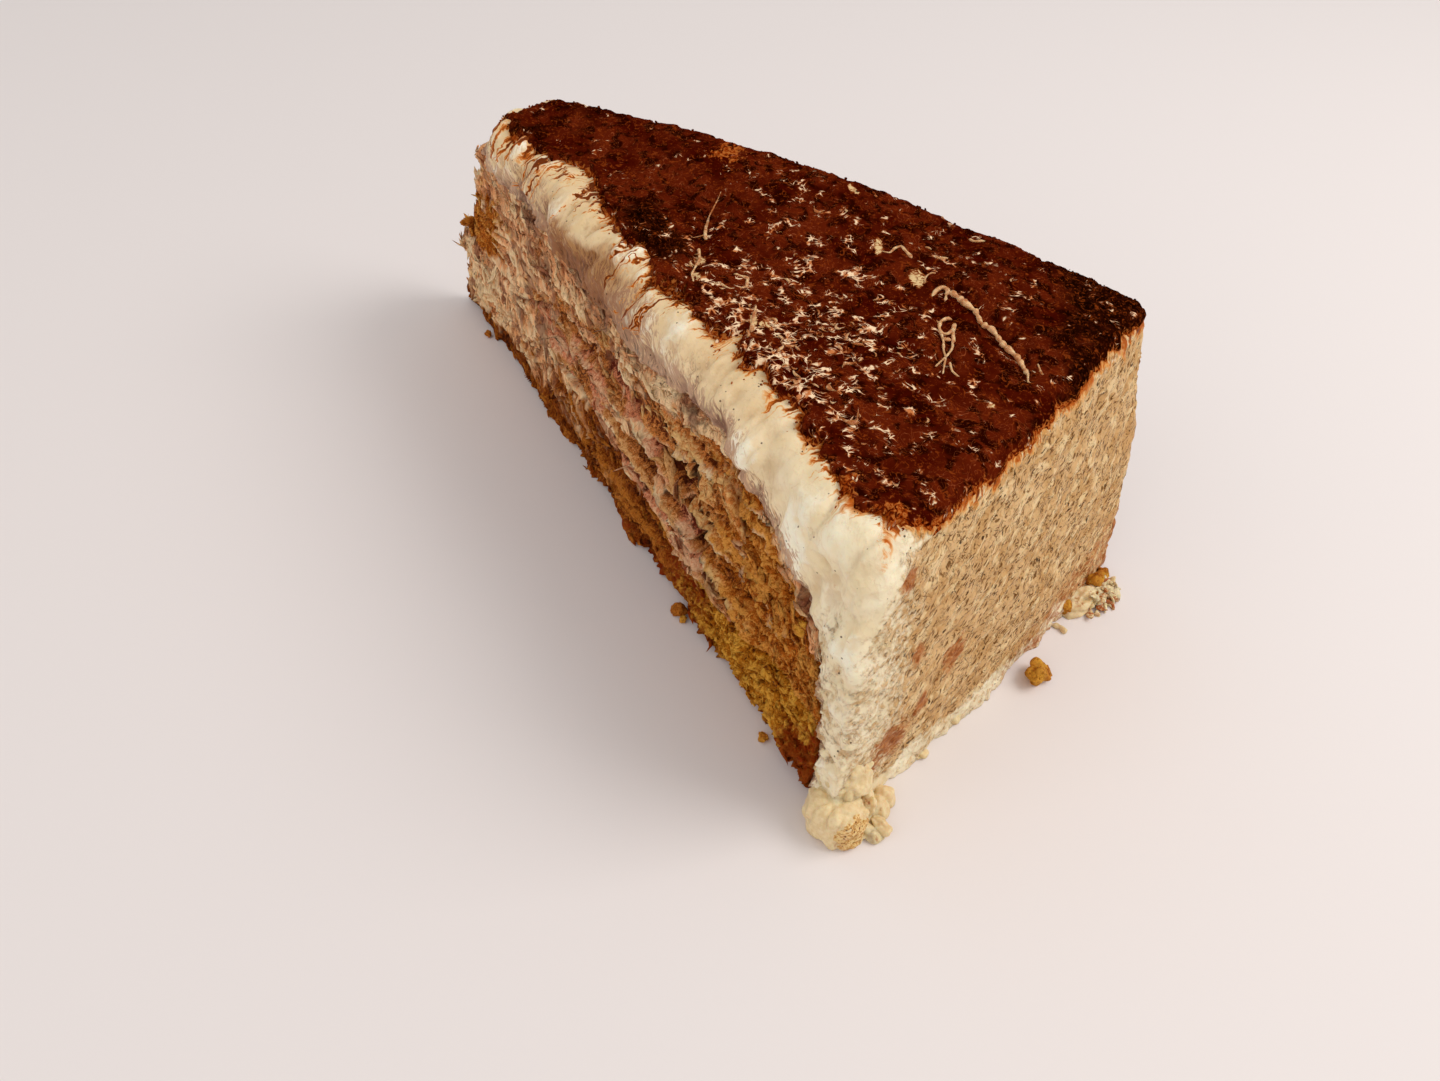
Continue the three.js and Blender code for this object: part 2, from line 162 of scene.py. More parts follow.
# Strands of cream on the cocoa: plan points, half widths at the start and the end, beads, and tinge.
STRANDS = (
    (
        (
            (41.1, 14.8), (43.2, 14.8), (44.9, 14.5), (47.1, 14.3), (49.4, 12.8),
            (51.6, 12.9), (54.8, 11.5), (58.1, 10.8), (61.5, 8.5),
        ),
        0.55, 0.35, 1, 0.05,
    ),
    (
        (
            (42.6, 10.5), (40.9, 11.2), (39.9, 12.2), (39.4, 13.9),
            (39.8, 15.1), (41.0, 15.0), (41.9, 13.2), (42.8, 11.4),
        ),
        0.42, 0.3, 0, 0.0,
    ),
    (((40.7, 11.3), (42.2, 8.9), (43.9, 8.3), (44.8, 8.2)), 0.25, 0.2, 0, 0.2),
    (
        (
            (45.4, 10.6), (44.7, 10.5), (44.4, 9.1), (45.1, 7.5),
            (46.5, 6.3), (47.2, 6.9), (47.3, 8.3), (46.3, 10.2),
        ),
        0.26, 0.34, 0, 0.0,
    ),
    (((46.9, 8.7), (48.8, 6.5), (50.0, 4.5), (50.5, 2.6), (51.0, -1.3)), 0.34, 0.14, 0, 0.1),
    (((46.5, 6.3), (48.0, 4.9), (49.2, 3.3), (50.7, 1.9), (52.8, -1.6)), 0.26, 0.14, 0, 0.25),
    (((47.3, 5.2), (48.6, 6.2)), 0.26, 0.26, 0, 0.0),
    (((51.7, 1.6), (53.3, 0.1), (54.7, -0.2), (56.0, -0.1)), 0.2, 0.12, 0, 0.1),
    (((37.6, 13.6), (36.4, 14.6), (36.0, 15.8), (36.2, 16.9), (37.1, 16.9)), 0.16, 0.28, 0, 0.1),
    (((33.0, 21.4), (34.2, 21.1), (35.4, 22.3)), 0.2, 0.3, 0, 0.0),
    (((26.4, 15.6), (27.7, 16.3), (27.3, 18.0), (27.6, 19.4), (29.0, 18.9), (31.0, 18.2)), 0.16, 0.3, 0, 0.2),
    (((34.2, 29.8), (35.2, 29.6), (36.6, 31.2)), 0.26, 0.2, 0, 0.1),
    (((61.0, 11.8), (63.0, 10.2), (65.4, 11.6)), 0.2, 0.1, 0, 0.3),
    (((60.9, 9.4), (62.6, 6.9), (64.0, 7.6)), 0.24, 0.1, 0, 0.3),
    (((-8.6, 11.6), (-5.6, 9.6), (-3.7, 6.3), (-1.7, 2.3), (0.6, -0.8)), 0.06, 0.14, 0, 0.6),
    (((-1.7, 2.3), (0.4, -0.6), (1.9, -2.2), (3.1, -3.2)), 0.1, 0.36, 0, 0.2),
    (((4.6, -6.4), (7.1, -8.6), (9.6, -12.9), (12.0, -14.6)), 0.3, 0.1, 0, 0.2),
    (((1.9, -2.2), (1.2, -5.0), (2.6, -8.4)), 0.12, 0.06, 0, 0.5),
    (((13.6, -11.2), (16.6, -11.0), (18.0, -8.6), (16.2, -6.4), (13.9, -7.4)), 0.2, 0.3, 0, 0.15),
    (((21.4, -9.4), (23.2, -12.0), (26.8, -16.6)), 0.15, 0.42, 0, 0.3),
)

# Random fields


def hashed(i, j, k, seed):
    """Random numbers in 0..1 for whole-number lattice points, by mixing the bits of the three indices."""
    n = i * 374761393 + j * 668265263 + k * 1274126177 + seed * 974634777
    n = (n ^ (n >> 13)) & 0xFFFFFFFF
    n = (n * 1274126177) & 0xFFFFFFFF
    return ((n ^ (n >> 16)) & 0xFFFF) / 65535.0


def noise(points, seed, size=1.0):
    """Smooth random field, -1 to 1: the eight corner values of a cube of the size, or of a box of three
    sizes, blended by 3f^2 - 2f^3."""
    points = points / np.array(size)
    corner = np.floor(points).astype(np.int64)
    part = points - corner
    weight = part * part * (3 - 2 * part)
    total = 0.0
    for step in np.ndindex(2, 2, 2):
        at = corner + np.array(step)
        share = np.prod(np.where(np.array(step) == 1, weight, 1 - weight), axis=-1)
        total = total + share * hashed(at[..., 0], at[..., 1], at[..., 2], seed)
    return 2 * total - 1


def cloud(points, seed, octaves=3):
    """Sum of noise fields, each twice as fine and half as strong as the one before."""
    return sum(noise(points * 2**n, seed + n) / 2**n for n in range(octaves))


def cells(points, seed):
    """One point is scattered in each unit cube. Gives the distance to the nearest and to the second
    nearest of them, and a random number that belongs to the nearest."""
    middle = np.floor(points).astype(np.int64)
    first = np.full(points.shape[:-1], 9.0)
    second = first.copy()
    tag = first * 0
    for step in np.ndindex(3, 3, 3):
        cube = middle + np.array(step) - 1
        i, j, k = cube[..., 0], cube[..., 1], cube[..., 2]
        at = cube + np.stack([hashed(i, j, k, seed + n) for n in range(3)], -1)
        distance = np.linalg.norm(at - points, axis=-1)
        nearer = distance < first
        second = np.where(nearer, first, np.minimum(second, distance))
        tag = np.where(nearer, hashed(i, j, k, seed + 3), tag)
        first = np.minimum(first, distance)
    return first, second, tag


def flat_noise(x, y, seed):
    """The solids' own random field, -1 to 1: fractions of a large sine at whole numbers, blended smoothly."""
    i = np.floor(x)
    j = np.floor(y)

    def at(a, b):
        wave = np.sin(a * 127.1 + b * 311.7 + seed * 74.7) * 43758.5453
        return 2 * (wave - np.floor(wave)) - 1

    u = smooth(x - i, 0, 1)
    v = smooth(y - j, 0, 1)
    low = at(i, j) * (1 - u) + at(i + 1, j) * u
    high = at(i, j + 1) * (1 - u) + at(i + 1, j + 1) * u
    return low * (1 - v) + high * v


def smooth(value, low, high):
    """0 below low, 1 above high and 3f^2 - 2f^3 between."""
    part = np.clip((value - low) / (high - low), 0, 1)
    return part * part * (3 - 2 * part)


def blend(low, high, part):
    return low + (high - low) * part


def hill(value, middle, width):
    """Bell curve: 1 at the middle, and falling with the square of the distance in widths."""
    return np.exp(-(((value - middle) / width) ** 2))


def bowl(distance, size):
    """1 at no distance, less the squared share of the size, and 0 beyond it."""
    return np.clip(1 - (distance / size) ** 2, 0, 1)


def unit(vectors):
    return vectors / np.linalg.norm(vectors, axis=-1, keepdims=True)


def stretched(points, x, y, z):
    """The points measured in units of x, y and z millimetres."""
    return points / np.array([x, y, z])


def shaken(points, seed, size, by):
    """The points moved along each axis by a noise of its own, of a size and up to a distance."""
    return points + by * np.stack([noise(points / size, seed + n) for n in range(3)], -1)


# Long section and plan of the slice


def round_drop(distance, size):
    """How far a round edge of the given width and drop has fallen at a distance in from it."""
    width, drop = size
    inward = np.clip(1 - distance / width, 0, 1)
    return drop * (1 - np.sqrt(1 - inward * inward))


def tip_x(z):
    return TIP_X + TIP_LEAN * (np.maximum(z, 0) / HEIGHT) ** 1.9


def rim_x(z):
    return RIM_X - RIM_LEAN * (np.maximum(z, 0) / HEIGHT) ** 1.8


def half_width(x):
    return np.hypot(HALF_WEDGE * (x - TIP_X), TIP_HALF_WIDTH)


def far_bulge(x, z):
    grows = smooth(x, -78, -22)
    fades = 1 - 0.75 * smooth(x, 18, 74)
    return FAR_BULGE * np.clip(z / HEIGHT, 0, 1) * grows * fades


def from_cuts(x, z, t):
    """Distances in from the near and from the far cut face."""
    width = 2 * half_width(x) + far_bulge(x, z)
    return (t + 1) / 2 * width, (1 - t) / 2 * width


def place(x, z, t):
    """A point of the slice: x and z in the long section, t from -1 at the near cut to 1 at the far cut.
    y is the half width times t, plus the far bulge. x is set back by the rim's crown and round corners."""
    x, z, t = np.broadcast_arrays(x, z, t)
    y = half_width(x) * t + far_bulge(x, z) * (t + 1) / 2
    height01 = np.clip(z / HEIGHT, 0, 1)
    crown = RIM_CROWN * ((y + 8) / 38) ** 2 + RIM_SKEW * y * height01
    near, far = from_cuts(x, z, t)
    corner = np.maximum(round_drop(near, NEAR_CORNER), round_drop(far, FAR_CORNER))
    corner = corner * height01 * smooth(x, 60, 75)
    upper = smooth(z, 2, 40) + 2.0 * (t < 0) * smooth(z, 40, 52)
    nose = 1.4 * t * t * (1 - smooth(x, TIP_X, TIP_X + 34)) * upper
    return np.stack([x - crown * smooth(x, 10, 70) - corner + nose, y, z], -1)


def sponge_top(x):
    level = blend(SPONGE_TOP, SPONGE_SHOULDER, smooth(x, 40, 54))
    return level + 2.3 * hill(x, 34, 16) + 0.8 * flat_noise(x / 17, 0 * x, 3)


def sponge_end_x(z):
    fall = np.clip(z / SPONGE_SHOULDER, 0, 1) ** SPONGE_BEND_POWER
    return blend(SPONGE_BEND_X, SPONGE_END_X, (1 - fall) ** (1 / SPONGE_BEND_POWER))


def column_x(column, z):
    straight = blend(tip_x(z), STRAIGHT_END_X, column / STRAIGHT_COLUMNS)
    bent = blend(STRAIGHT_END_X, sponge_end_x(z), (column - STRAIGHT_COLUMNS) / 6)
    return np.where(column <= STRAIGHT_COLUMNS, straight, bent)


def base_top(x):
    return BASE_TOP + 2 * np.sin((x + 30) / 14) + 0.7 * flat_noise(x / 9, 0 * x + 1, 5)


def filling_thickness(x):
    end_x = column_x(FILLING_END_COLUMN, BASE_TOP)
    along = np.clip((x - TIP_X) / (end_x - TIP_X), 0, 1)
    swell = smooth(along, 0.05, 0.6) * (1 - smooth(along, 0.85, 1))
    return blend(4.5, 1.2, along) + FILLING_THICKNESS * swell


def outline(column):
    """The sponge block in the long section: its top, the bend (a power curve by angle), then its end."""
    flat = np.minimum(column, STRAIGHT_COLUMNS)
    x = column_x(flat, SPONGE_TOP)
    reach = SPONGE_END_X - SPONGE_BEND_X
    fall = np.clip((x - SPONGE_BEND_X) / reach, 0, 1)
    z = sponge_top(x) * (1 - fall**SPONGE_BEND_POWER) ** (1 / SPONGE_BEND_POWER)
    power = 2 / SPONGE_BEND_POWER
    start = math.asin(((STRAIGHT_END_X - SPONGE_BEND_X) / reach) ** (1 / power))
    angle = blend(start, BEND_END_ANGLE, np.clip((column - STRAIGHT_COLUMNS) / 6, 0, 1))
    bend_x = SPONGE_BEND_X + reach * np.sin(angle) ** power
    bend_z = sponge_top(bend_x) * np.cos(angle) ** power
    base_end = base_top(np.array(SPONGE_END_X)) + GAP
    down = np.clip((column - BEND_END_COLUMN) / 3, 0, 1)
    foot = np.clip((column - UPPER_END_COLUMN) / 4, 0, 1)
    end_z = blend(bend_z, base_end, down) * (1 - foot)
    bent = column > STRAIGHT_COLUMNS
    ended = column > BEND_END_COLUMN
    x = np.where(ended, sponge_end_x(end_z), np.where(bent, bend_x, x))
    return x, np.where(ended, end_z, np.where(bent, bend_z, z))


def layer_levels(column):
    """Long-section lines that part the layers: floor, base top and filling top, each as x and z."""
    zero = 0 * column
    x = column_x(column, zero + BASE_TOP)
    low = base_top(x) + GAP / 2
    closing = np.clip(FILLING_END_COLUMN + 1 - column, 0, 1)
    thick = np.where(column <= FILLING_END_COLUMN, filling_thickness(x), 1.2 * closing)
    top = low + thick + GAP * closing
    return (column_x(column, zero), zero), (x, low), (column_x(column, top), top)


def unbent_height(x, z):
    """The height that a point of a layer has before the layers bend down at the rim."""
    fall = np.clip((x - SPONGE_BEND_X) / (SPONGE_END_X - SPONGE_BEND_X), 0, 0.97)
    return z / (1 - fall**SPONGE_BEND_POWER) ** (1 / SPONGE_BEND_POWER)


def cut_normal(t):
    """Level direction out of the slice: square to a cut face at t = -1 or 1, and turning round the tip."""
    angle = t * (math.pi / 2 - HALF_ANGLE)
    return np.stack([-np.cos(angle), np.sin(angle), 0 * angle], -1)


# Meshes


def make_piece(name, points, faces, masks, flow=None, **values):
    """A mesh object from points in millimetres and arrays of faces, one array for each number of corners,
    shaded smooth. masks (four numbers a point) and each named value (one) become attributes, and flow
    (two numbers) a UV map."""
    mesh = bpy.data.meshes.new(name)
    loops = np.concatenate([group.ravel() for group in faces]).astype(np.int32)
    sizes = np.concatenate([np.full(len(group), group.shape[1]) for group in faces])
    mesh.vertices.add(len(points))
    mesh.vertices.foreach_set("co", (points * MM).astype(np.float32).ravel())
    mesh.loops.add(len(loops))
    mesh.loops.foreach_set("vertex_index", loops)
    mesh.polygons.add(len(sizes))
    mesh.polygons.foreach_set("loop_start", np.concatenate([[0], np.cumsum(sizes)[:-1]]).astype(np.int32))
    mesh.update(calc_edges=True)
    mesh.validate()
    mesh.polygons.foreach_set("use_smooth", np.ones(len(mesh.polygons), bool))
    colours = mesh.attributes.new("masks", "FLOAT_COLOR", "POINT")
    colours.data.foreach_set("color", masks.astype(np.float32).ravel())
    for label, value in values.items():
        attribute = mesh.attributes.new(label, "FLOAT", "POINT")
        attribute.data.foreach_set("value", value.astype(np.float32).ravel())
    if flow is not None:
        corner = np.empty(len(mesh.loops), np.int32)
        mesh.loops.foreach_get("vertex_index", corner)
        mesh.uv_layers.new(name="flow").data.foreach_set("uv", flow[corner].astype(np.float32).ravel())
    piece = bpy.data.objects.new(name, mesh)
    bpy.context.scene.collection.objects.link(piece)
    return piece


def belt_cuts(per_side, tip_pairs):
    """Cut of every line of a belt that runs from the rim end along the near cut (t = -1), round the tip
    and back along the far cut (t = 1)."""
    tip = np.linspace(-1, 1, 2 * tip_pairs + 2)[1:-1]
    return np.concatenate([np.full(per_side, -1.0), tip, np.full(per_side, 1.0)])[:, None]


def round_belt(side, tip_pairs):
    """Values for every line of such a belt: those of one side, the last of them round the tip, and back."""
    return np.concatenate([side, np.repeat(side[-1:], 2 * tip_pairs, 0), side[::-1]])[:, None]


def grid_quads(number):
    """Quads between the neighbours in a grid of point numbers."""
    corners = (number[:-1, :-1], number[:-1, 1:], number[1:, 1:], number[1:, :-1])
    return np.stack(corners, -1).reshape(-1, 4)


def ring_quads(number):
    """The same for a grid whose rows are closed rings."""
    return grid_quads(np.concatenate([number, number[:, :1]], 1))


def cap_faces(rim, up):
    """Quads that close a belt edge: each point of the near half is joined to its partner on the far half."""
    near = rim[: len(rim) // 2]
    far = rim[::-1][: len(rim) // 2]
    a, b, c, d = near[:-1], near[1:], far[1:], far[:-1]
    return np.stack([a, d, c, b] if up else [a, b, c, d], -1)


def finish_piece(piece, material, slot, *nodes):
    piece.data.materials.append(material)
    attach(piece, "root")
    if nodes:
        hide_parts(*nodes)


# Relief of the cut faces, in millimetres outwards


def crumb(points, seed, coarse=1.0):
    """Torn open crumb. Round bowls of random depth (one less the squared distance to the cell's middle)
    are sunk between thin walls (where two cells are equally near), on low lumps of a coarser set of cells
    and ridges, which stand where a noise passes zero."""
    warped = shaken(points, seed, 2.4, 0.9)
    near, next_near, tag = cells(stretched(warped, 1.8, 1.8, 1.3) / coarse, seed + 5)
    bowls = tag**1.3 * bowl(near, 0.64)
    walls = 0.3 * (1 - smooth(next_near - near, 0, 0.28))
    lump_near, lump_next, lump_tag = cells(stretched(warped, 4.6, 4.6, 2.6) / coarse, seed + 11)
    lumps = 0.5 * bowl(lump_near, 0.8) * (0.4 + lump_tag)
    cracks = 0.5 * (1 - smooth(lump_next - lump_near, 0, 0.16)) * (lump_tag > 0.45)
    ridges = 0.35 * (1 - 3 * np.abs(noise(points, seed + 16, (2.6, 2.6, 1.5))))
    return walls + lumps - cracks + ridges - bowls + 0.06 * noise(points / 0.8, seed + 17)


def strata(points, seed, height):
    """Torn leaves that lie along the layers. Each leaf swells outwards from its top to its lower lip and
    then steps back, so the profile is a saw along the unbent height, which wanders with a slow noise. Gives
    the height and how much of a lip each point is."""
    level = unbent_height(points[..., 0], points[..., 2]) / height
    level = level + 1.1 * noise(points, seed, (24, 24, 8)) + 0.4 * noise(points, seed + 1, (7, 7, 3))
    saw = 1 - (level - np.floor(level))
    leaf = smooth(saw, 0, 0.8) * (1 - smooth(saw, 0.88, 1.0))
    strength = smooth(noise(points, seed + 2, (14, 14, 2.4)), -0.45, 0.4)
    return leaf * strength, strength * smooth(saw, 0.45, 0.8)


def strand_lean(x):
    """How steeply torn strands run down towards the rim, in radians: most near the tip."""
    return blend(0.7, 0.12, smooth(x, -15, 35))


def shred(points, seed):
    """Thin torn ridges along the strands: one less the size of a long flat noise, sharpened, where a slow
    noise allows them. Length and height are turned by the strands' lean about a point near the tip."""
    ahead = points[..., 0] + 20
    level = unbent_height(points[..., 0], points[..., 2]) - 22
    cos, sin = np.cos(strand_lean(points[..., 0])), np.sin(strand_lean(points[..., 0]))
    turned = np.stack([ahead * cos - level * sin, points[..., 1], ahead * sin + level * cos], -1)
    along = stretched(turned, 6.5, 6.5, 1.25) + 0.4 * noise(points / 3.0, seed + 3)[..., None]
    ridge = 1 - np.abs(noise(along, seed)) * 2.6
    finer = 1 - np.abs(noise(along * 2.1, seed + 4)) * 2.2
    allowed = smooth(noise(points, seed + 1, (6, 6, 3)), -0.5, 0.4)
    return allowed * (0.75 * np.clip(ridge, 0, 1) ** 1.5 + 0.3 * np.clip(finer, 0, 1) ** 1.5 - 0.3)


def cavity_depth(points):
    """Deep holes in the near cut face: a turned ellipse each, with a ragged edge and steep walls."""
    depth = 0.0
    for hole in CAVITIES:
        dx = points[..., 0] - hole["x"]
        dz = points[..., 2] - hole["z"]
        cos, sin = math.cos(hole["turn"]), math.sin(hole["turn"])
        u = (dx * cos + dz * sin) / hole["long"]
        v = (dz * cos - dx * sin) / hole["high"]
        inside = 1 - u * u - v * v + 0.45 * noise(points / 1.3, 91)
        depth = np.maximum(depth, hole["depth"] * smooth(inside, 0, 0.55))
    return depth * (points[..., 1] < 0)


def stack_masks(*values):
    """Four numbers a point, each clipped to 0..1."""
    shape = np.broadcast_shapes(*(np.shape(value) for value in values))
    return np.stack([np.clip(np.broadcast_to(value, shape), 0, 1) for value in values], -1).reshape(-1, 4)


LAYER_TIP_PAIRS = 12


def layer_piece(layer):
    """A layer as a closed belt. Rows are spread evenly from its lower to its upper line, and every point
    is moved out of the slice by the relief, never by more than the slice is thick there."""
    column = round_belt(np.linspace(layer["last_column"], 0, layer["per_side"]), LAYER_TIP_PAIRS)
    t = belt_cuts(layer["per_side"], LAYER_TIP_PAIRS)
    part = np.linspace(0, 1, layer["rows"])[None]
    low_x, low_z = layer["low_at"](column)
    high_x, high_z = layer["high_at"](column)
    x = blend(low_x, high_x, part)
    z = blend(low_z, high_z, part)
    points = place(x, z, t)
    # The relief also gives the painted shading: low places are darkened as painted shade and raised ones
    # lightened as painted light in the colour.
    relief, painted_shading, lip = layer["relief_at"](points, part)
    relief = np.maximum(relief, -0.55 * half_width(x))
    points = points + cut_normal(t) * relief[..., None]
    points[..., 2] -= 0.22 * np.clip(relief, -0.5, 1.5) * (part > 0) * (part < 1)
    points[..., 2] = np.maximum(points[..., 2], 0)
    number = np.arange(x.size).reshape(x.shape)
    rim_end = np.stack([number[0, :-1], number[-1, :-1], number[-1, 1:], number[0, 1:]], -1)
    caps = [cap_faces(number[:, -1], True), cap_faces(number[:, 0], False)]
    quads = np.concatenate([grid_quads(number), rim_end, *caps])
    masks = layer["masks_at"](points, part, column, painted_shading, lip)
    return make_piece(layer["name"], points.reshape(-1, 3), [quads], masks)


def tip_side(points, reach):
    return 1 - smooth(points[..., 0], TIP_X, TIP_X + reach)


def solid_crags(points):
    """The crags that the solids have on their cut faces."""
    x, z = points[..., 0], points[..., 2]
    crags = 1.1 * flat_noise(x / 5.5, z / 4.5, 10) + 0.7 * flat_noise(x / 13, z / 8, 11) - 0.4
    return crags * (1 - smooth(x, SPONGE_END_X - 7, SPONGE_END_X))


def calm(points):
    """Less relief towards the tip, where the knife smeared the layers."""
    return blend(0.45, 1, smooth(points[..., 0], -35, 12))


def base_relief(points, part):
    leaf, lip = strata(points, 140, 3.1)
    leafy = (1 - 0.8 * smooth(points[..., 0], 5, 50)) * calm(points)
    rough = crumb(points, 120) * (0.35 + 0.75 * smooth(points[..., 0], -5, 45))
    fine = rough + 2.2 * leafy * (leaf - 0.35) + 1.3 * shred(points, 145)
    edge = np.minimum(part, 1 - part) * 16
    fine = fine - 0.5 * (1 - smooth(edge, 0, 1.2))
    # The second value is the painted shading: darker where the face is low, paler where it is raised.
    return solid_crags(points) * 0.7 + fine, 0.5 + 0.5 * fine, lip * leafy


def base_masks(points, part, column, painted_shading, lip):
    x, z = points[..., 0], points[..., 2]
    patch = cloud(stretched(points, 9, 9, 5), 150)
    gold = smooth(x + 9 * patch, 18, 46)
    dark = 0.6 * (1 - smooth(z + 0.9 * patch, 0.2, 2.6)) * blend(0.35, 1, smooth(x, -30, 10))
    dark = dark + smooth(x + 5 * patch - 0.25 * z, 56, 67)
    smear = smooth(part + 0.3 * patch, 0.8, 1.05) * (1 - smooth(x, 20, 55)) * 0.6
    smear = smear + 0.6 * lip * smooth(patch, -0.1, 0.6) * smooth(part, 0.3, 0.8)
    smear = smear + 0.9 * tip_side(points, 96) * smooth(z + 2 * patch, 1.5, 6)
    dark = dark + 0.7 * hill(x, 28, 12) * (1 - smooth(z, 10, 16))
    return stack_masks(painted_shading, smear, gold, dark)


def filling_relief(points, part):
    leaf, lip = strata(points, 160, 2.8)
    soft = 0.7 * noise(points, 165, (5, 5, 2.4)) + 0.22 * noise(points, 166, (1.6, 1.6, 0.9))
    bits = crumb(points, 170, 0.8)
    crumbly = smooth(noise(points, 175, (5, 5, 3)), -0.1, 0.5)
    fine = calm(points) * (2.6 * (leaf - 0.4) + soft * 0.7 + 0.4 * bits * crumbly) + 1.3 * shred(points, 168)
    edge = np.minimum(part, 1 - part) * 14
    fine = fine - 1.1 * (1 - smooth(edge, 0, 1.4))
    hollow = cavity_depth(points)
    swell = 0.5 * flat_noise(points[..., 0] / 11, points[..., 2] / 6, 20)
    # The second value is the painted shading: darker where the face is low and deep in the cavities, paler
    # where it is raised.
    return 0.35 + swell + fine - hollow, 0.5 + 0.36 * fine - 0.25 * hollow, lip


def filling_masks(points, part, column, painted_shading, lip):
    pale = smooth(noise(points, 181, (6, 6, 2.6)) + 0.8 * (lip - 0.4), -0.1, 0.55)
    pale = np.maximum(pale * (1 - 0.7 * smooth(points[..., 0], 18, 32)), 1.2 * tip_side(points, 75))
    pink = smooth(noise(points, 182, (7, 7, 3)), -0.3, 0.4)
    # Painted shade: darker between the lips and in the cavities.
    dark = 0.6 * smooth(noise(points, 183, (4, 4, 1.8)), 0.2, 0.6) * (1 - lip)
    dark = dark * smooth(points[..., 0], -30, 10) + 1.2 * smooth(cavity_depth(points), 0.2, 1.0)
    return stack_masks(painted_shading, pale, pink, dark)


def upper_relief(points, part):
    leaf, lip = strata(points, 200, 3.0)
    x = points[..., 0]
    leafy = 1 - 0.5 * smooth(x, 46, 60)
    rough = crumb(points, 190, 0.9) * (0.12 + 0.85 * smooth(x, 15, 50))
    fine = rough + 2.4 * leafy * calm(points) * (leaf - 0.38) + 1.6 * shred(points, 205)
    edge = (1 - part) * 24
    fine = fine - 0.5 * (1 - smooth(edge, 0, 1.0)) - 0.4 * (1 - smooth(part * 24, 0, 1.0))
    hollow = cavity_depth(points)
    relief = solid_crags(points) * 0.65 + fine - hollow
    # The second value is the painted shading: darker where the face is low and deep in the cavities, paler
    # where it is raised.
    return relief, 0.5 + 0.42 * fine - 0.2 * hollow, lip * leafy


def upper_masks(points, part, column, painted_shading, lip):
    x, z = points[..., 0], points[..., 2]
    patch = cloud(stretched(points, 8, 8, 4), 210)
    below_top = outline(column)[1] - z
    in_soak = smooth(x, -72, -50) * (1 - smooth(x, 28, 50))
    soak_and_shade = in_soak * (1 - smooth(below_top + 3 * patch, 1.0, 7.5))
    edge_line = (1 - smooth(below_top + 1.4 * patch, 0.3, 2.4)) * smooth(x, 35, 50)
    golden_tip = (1 - smooth(x - tip_x(z) + 5 * patch, 9, 22)) * smooth(z, 17, 22)
    golden_tip = golden_tip * (1 - smooth(z + 3 * patch, 30, 44))
    smear = soak_and_shade + 0.8 * edge_line + 0.8 * lip * smooth(patch - 0.004 * x, -0.3, 0.3)
    smear = smear + (0.8 + 0.5 * patch) * (1 - smooth(x, -30, 30))
    smear = smear * (1 - golden_tip)
    gold = smooth(x + 9 * patch, 22, 50) + golden_tip
    # Painted shade in the cavities and, towards the tip, between the lips.
    dark = 1.2 * smooth(cavity_depth(points), 0.2, 1.0)
    dark = dark + 0.4 * smooth(patch, 0.3, 0.7) * (1 - lip) * smooth(x, -40, 0)
    # Darker streaks in the soaked top: partly soak, partly painted shade under the cream's edge.
    dark = dark + 0.5 * soak_and_shade * smooth(noise(points, 212, (3, 3, 3)), -0.3, 0.4)
    return stack_masks(painted_shading, smear, gold, dark)


# Cream coat


def smeared(points, seed):
    """Knife-smeared cream: pillows that meet in creases (the size of a noise) under thin sharp ridges
    (one less that size) at a smaller scale."""
    warped = shaken(points, seed, 3.2, 1.1)
    pillows = np.abs(noise(warped, seed + 3, (6.0, 6.0, 4.2)))
    ridges = 1 - 2.5 * np.abs(noise(warped, seed + 4, (2.7, 2.7, 1.9)))
    return 1.5 * pillows + 0.36 * ridges


def frosting_outside(steps, rim_share=0.0):
    """Outer line of the cream in the long section, from the foot of the rim up, round the rim edge and
    along the top to the tip. Gives x, z, the outward normal and the distance travelled. Steps are even,
    or their rim_share lies on the rim."""
    edge_z = FROSTING_TOP - RIM_EDGE_RADIUS
    edge_x = rim_x(FROSTING_TOP) - RIM_EDGE_RADIUS
    start_x = tip_x(FROSTING_TOP) + FROSTING_TIP_BACK[1]
    rim_z = np.linspace(0, edge_z, 200)
    angle = np.linspace(0, math.pi / 2, 30)[1:]
    top_x = np.linspace(edge_x, start_x, 300)[1:]
    leans = rim_x(edge_z) - rim_x(FROSTING_TOP)
    arc_x = edge_x + RIM_EDGE_RADIUS * np.cos(angle) + leans * np.cos(angle) ** 2
    x = np.concatenate([rim_x(rim_z), arc_x, top_x])
    z = np.concatenate([rim_z, edge_z + RIM_EDGE_RADIUS * np.sin(angle), np.full(top_x.shape, FROSTING_TOP)])
    travelled = np.concatenate([[0], np.cumsum(np.hypot(np.diff(x), np.diff(z)))])
    at = np.linspace(0, travelled[-1], steps)
    if rim_share:
        rim_length = edge_z + 2 * RIM_EDGE_RADIUS
        at = np.interp(np.linspace(0, 1, steps), (0, rim_share, 1), (0, rim_length, travelled[-1]))
    x, z = np.interp(at, travelled, x), np.interp(at, travelled, z)
    slope = np.stack([np.gradient(z, at), np.zeros(steps), -np.gradient(x, at)], -1)
    return x, z, unit(slope), at


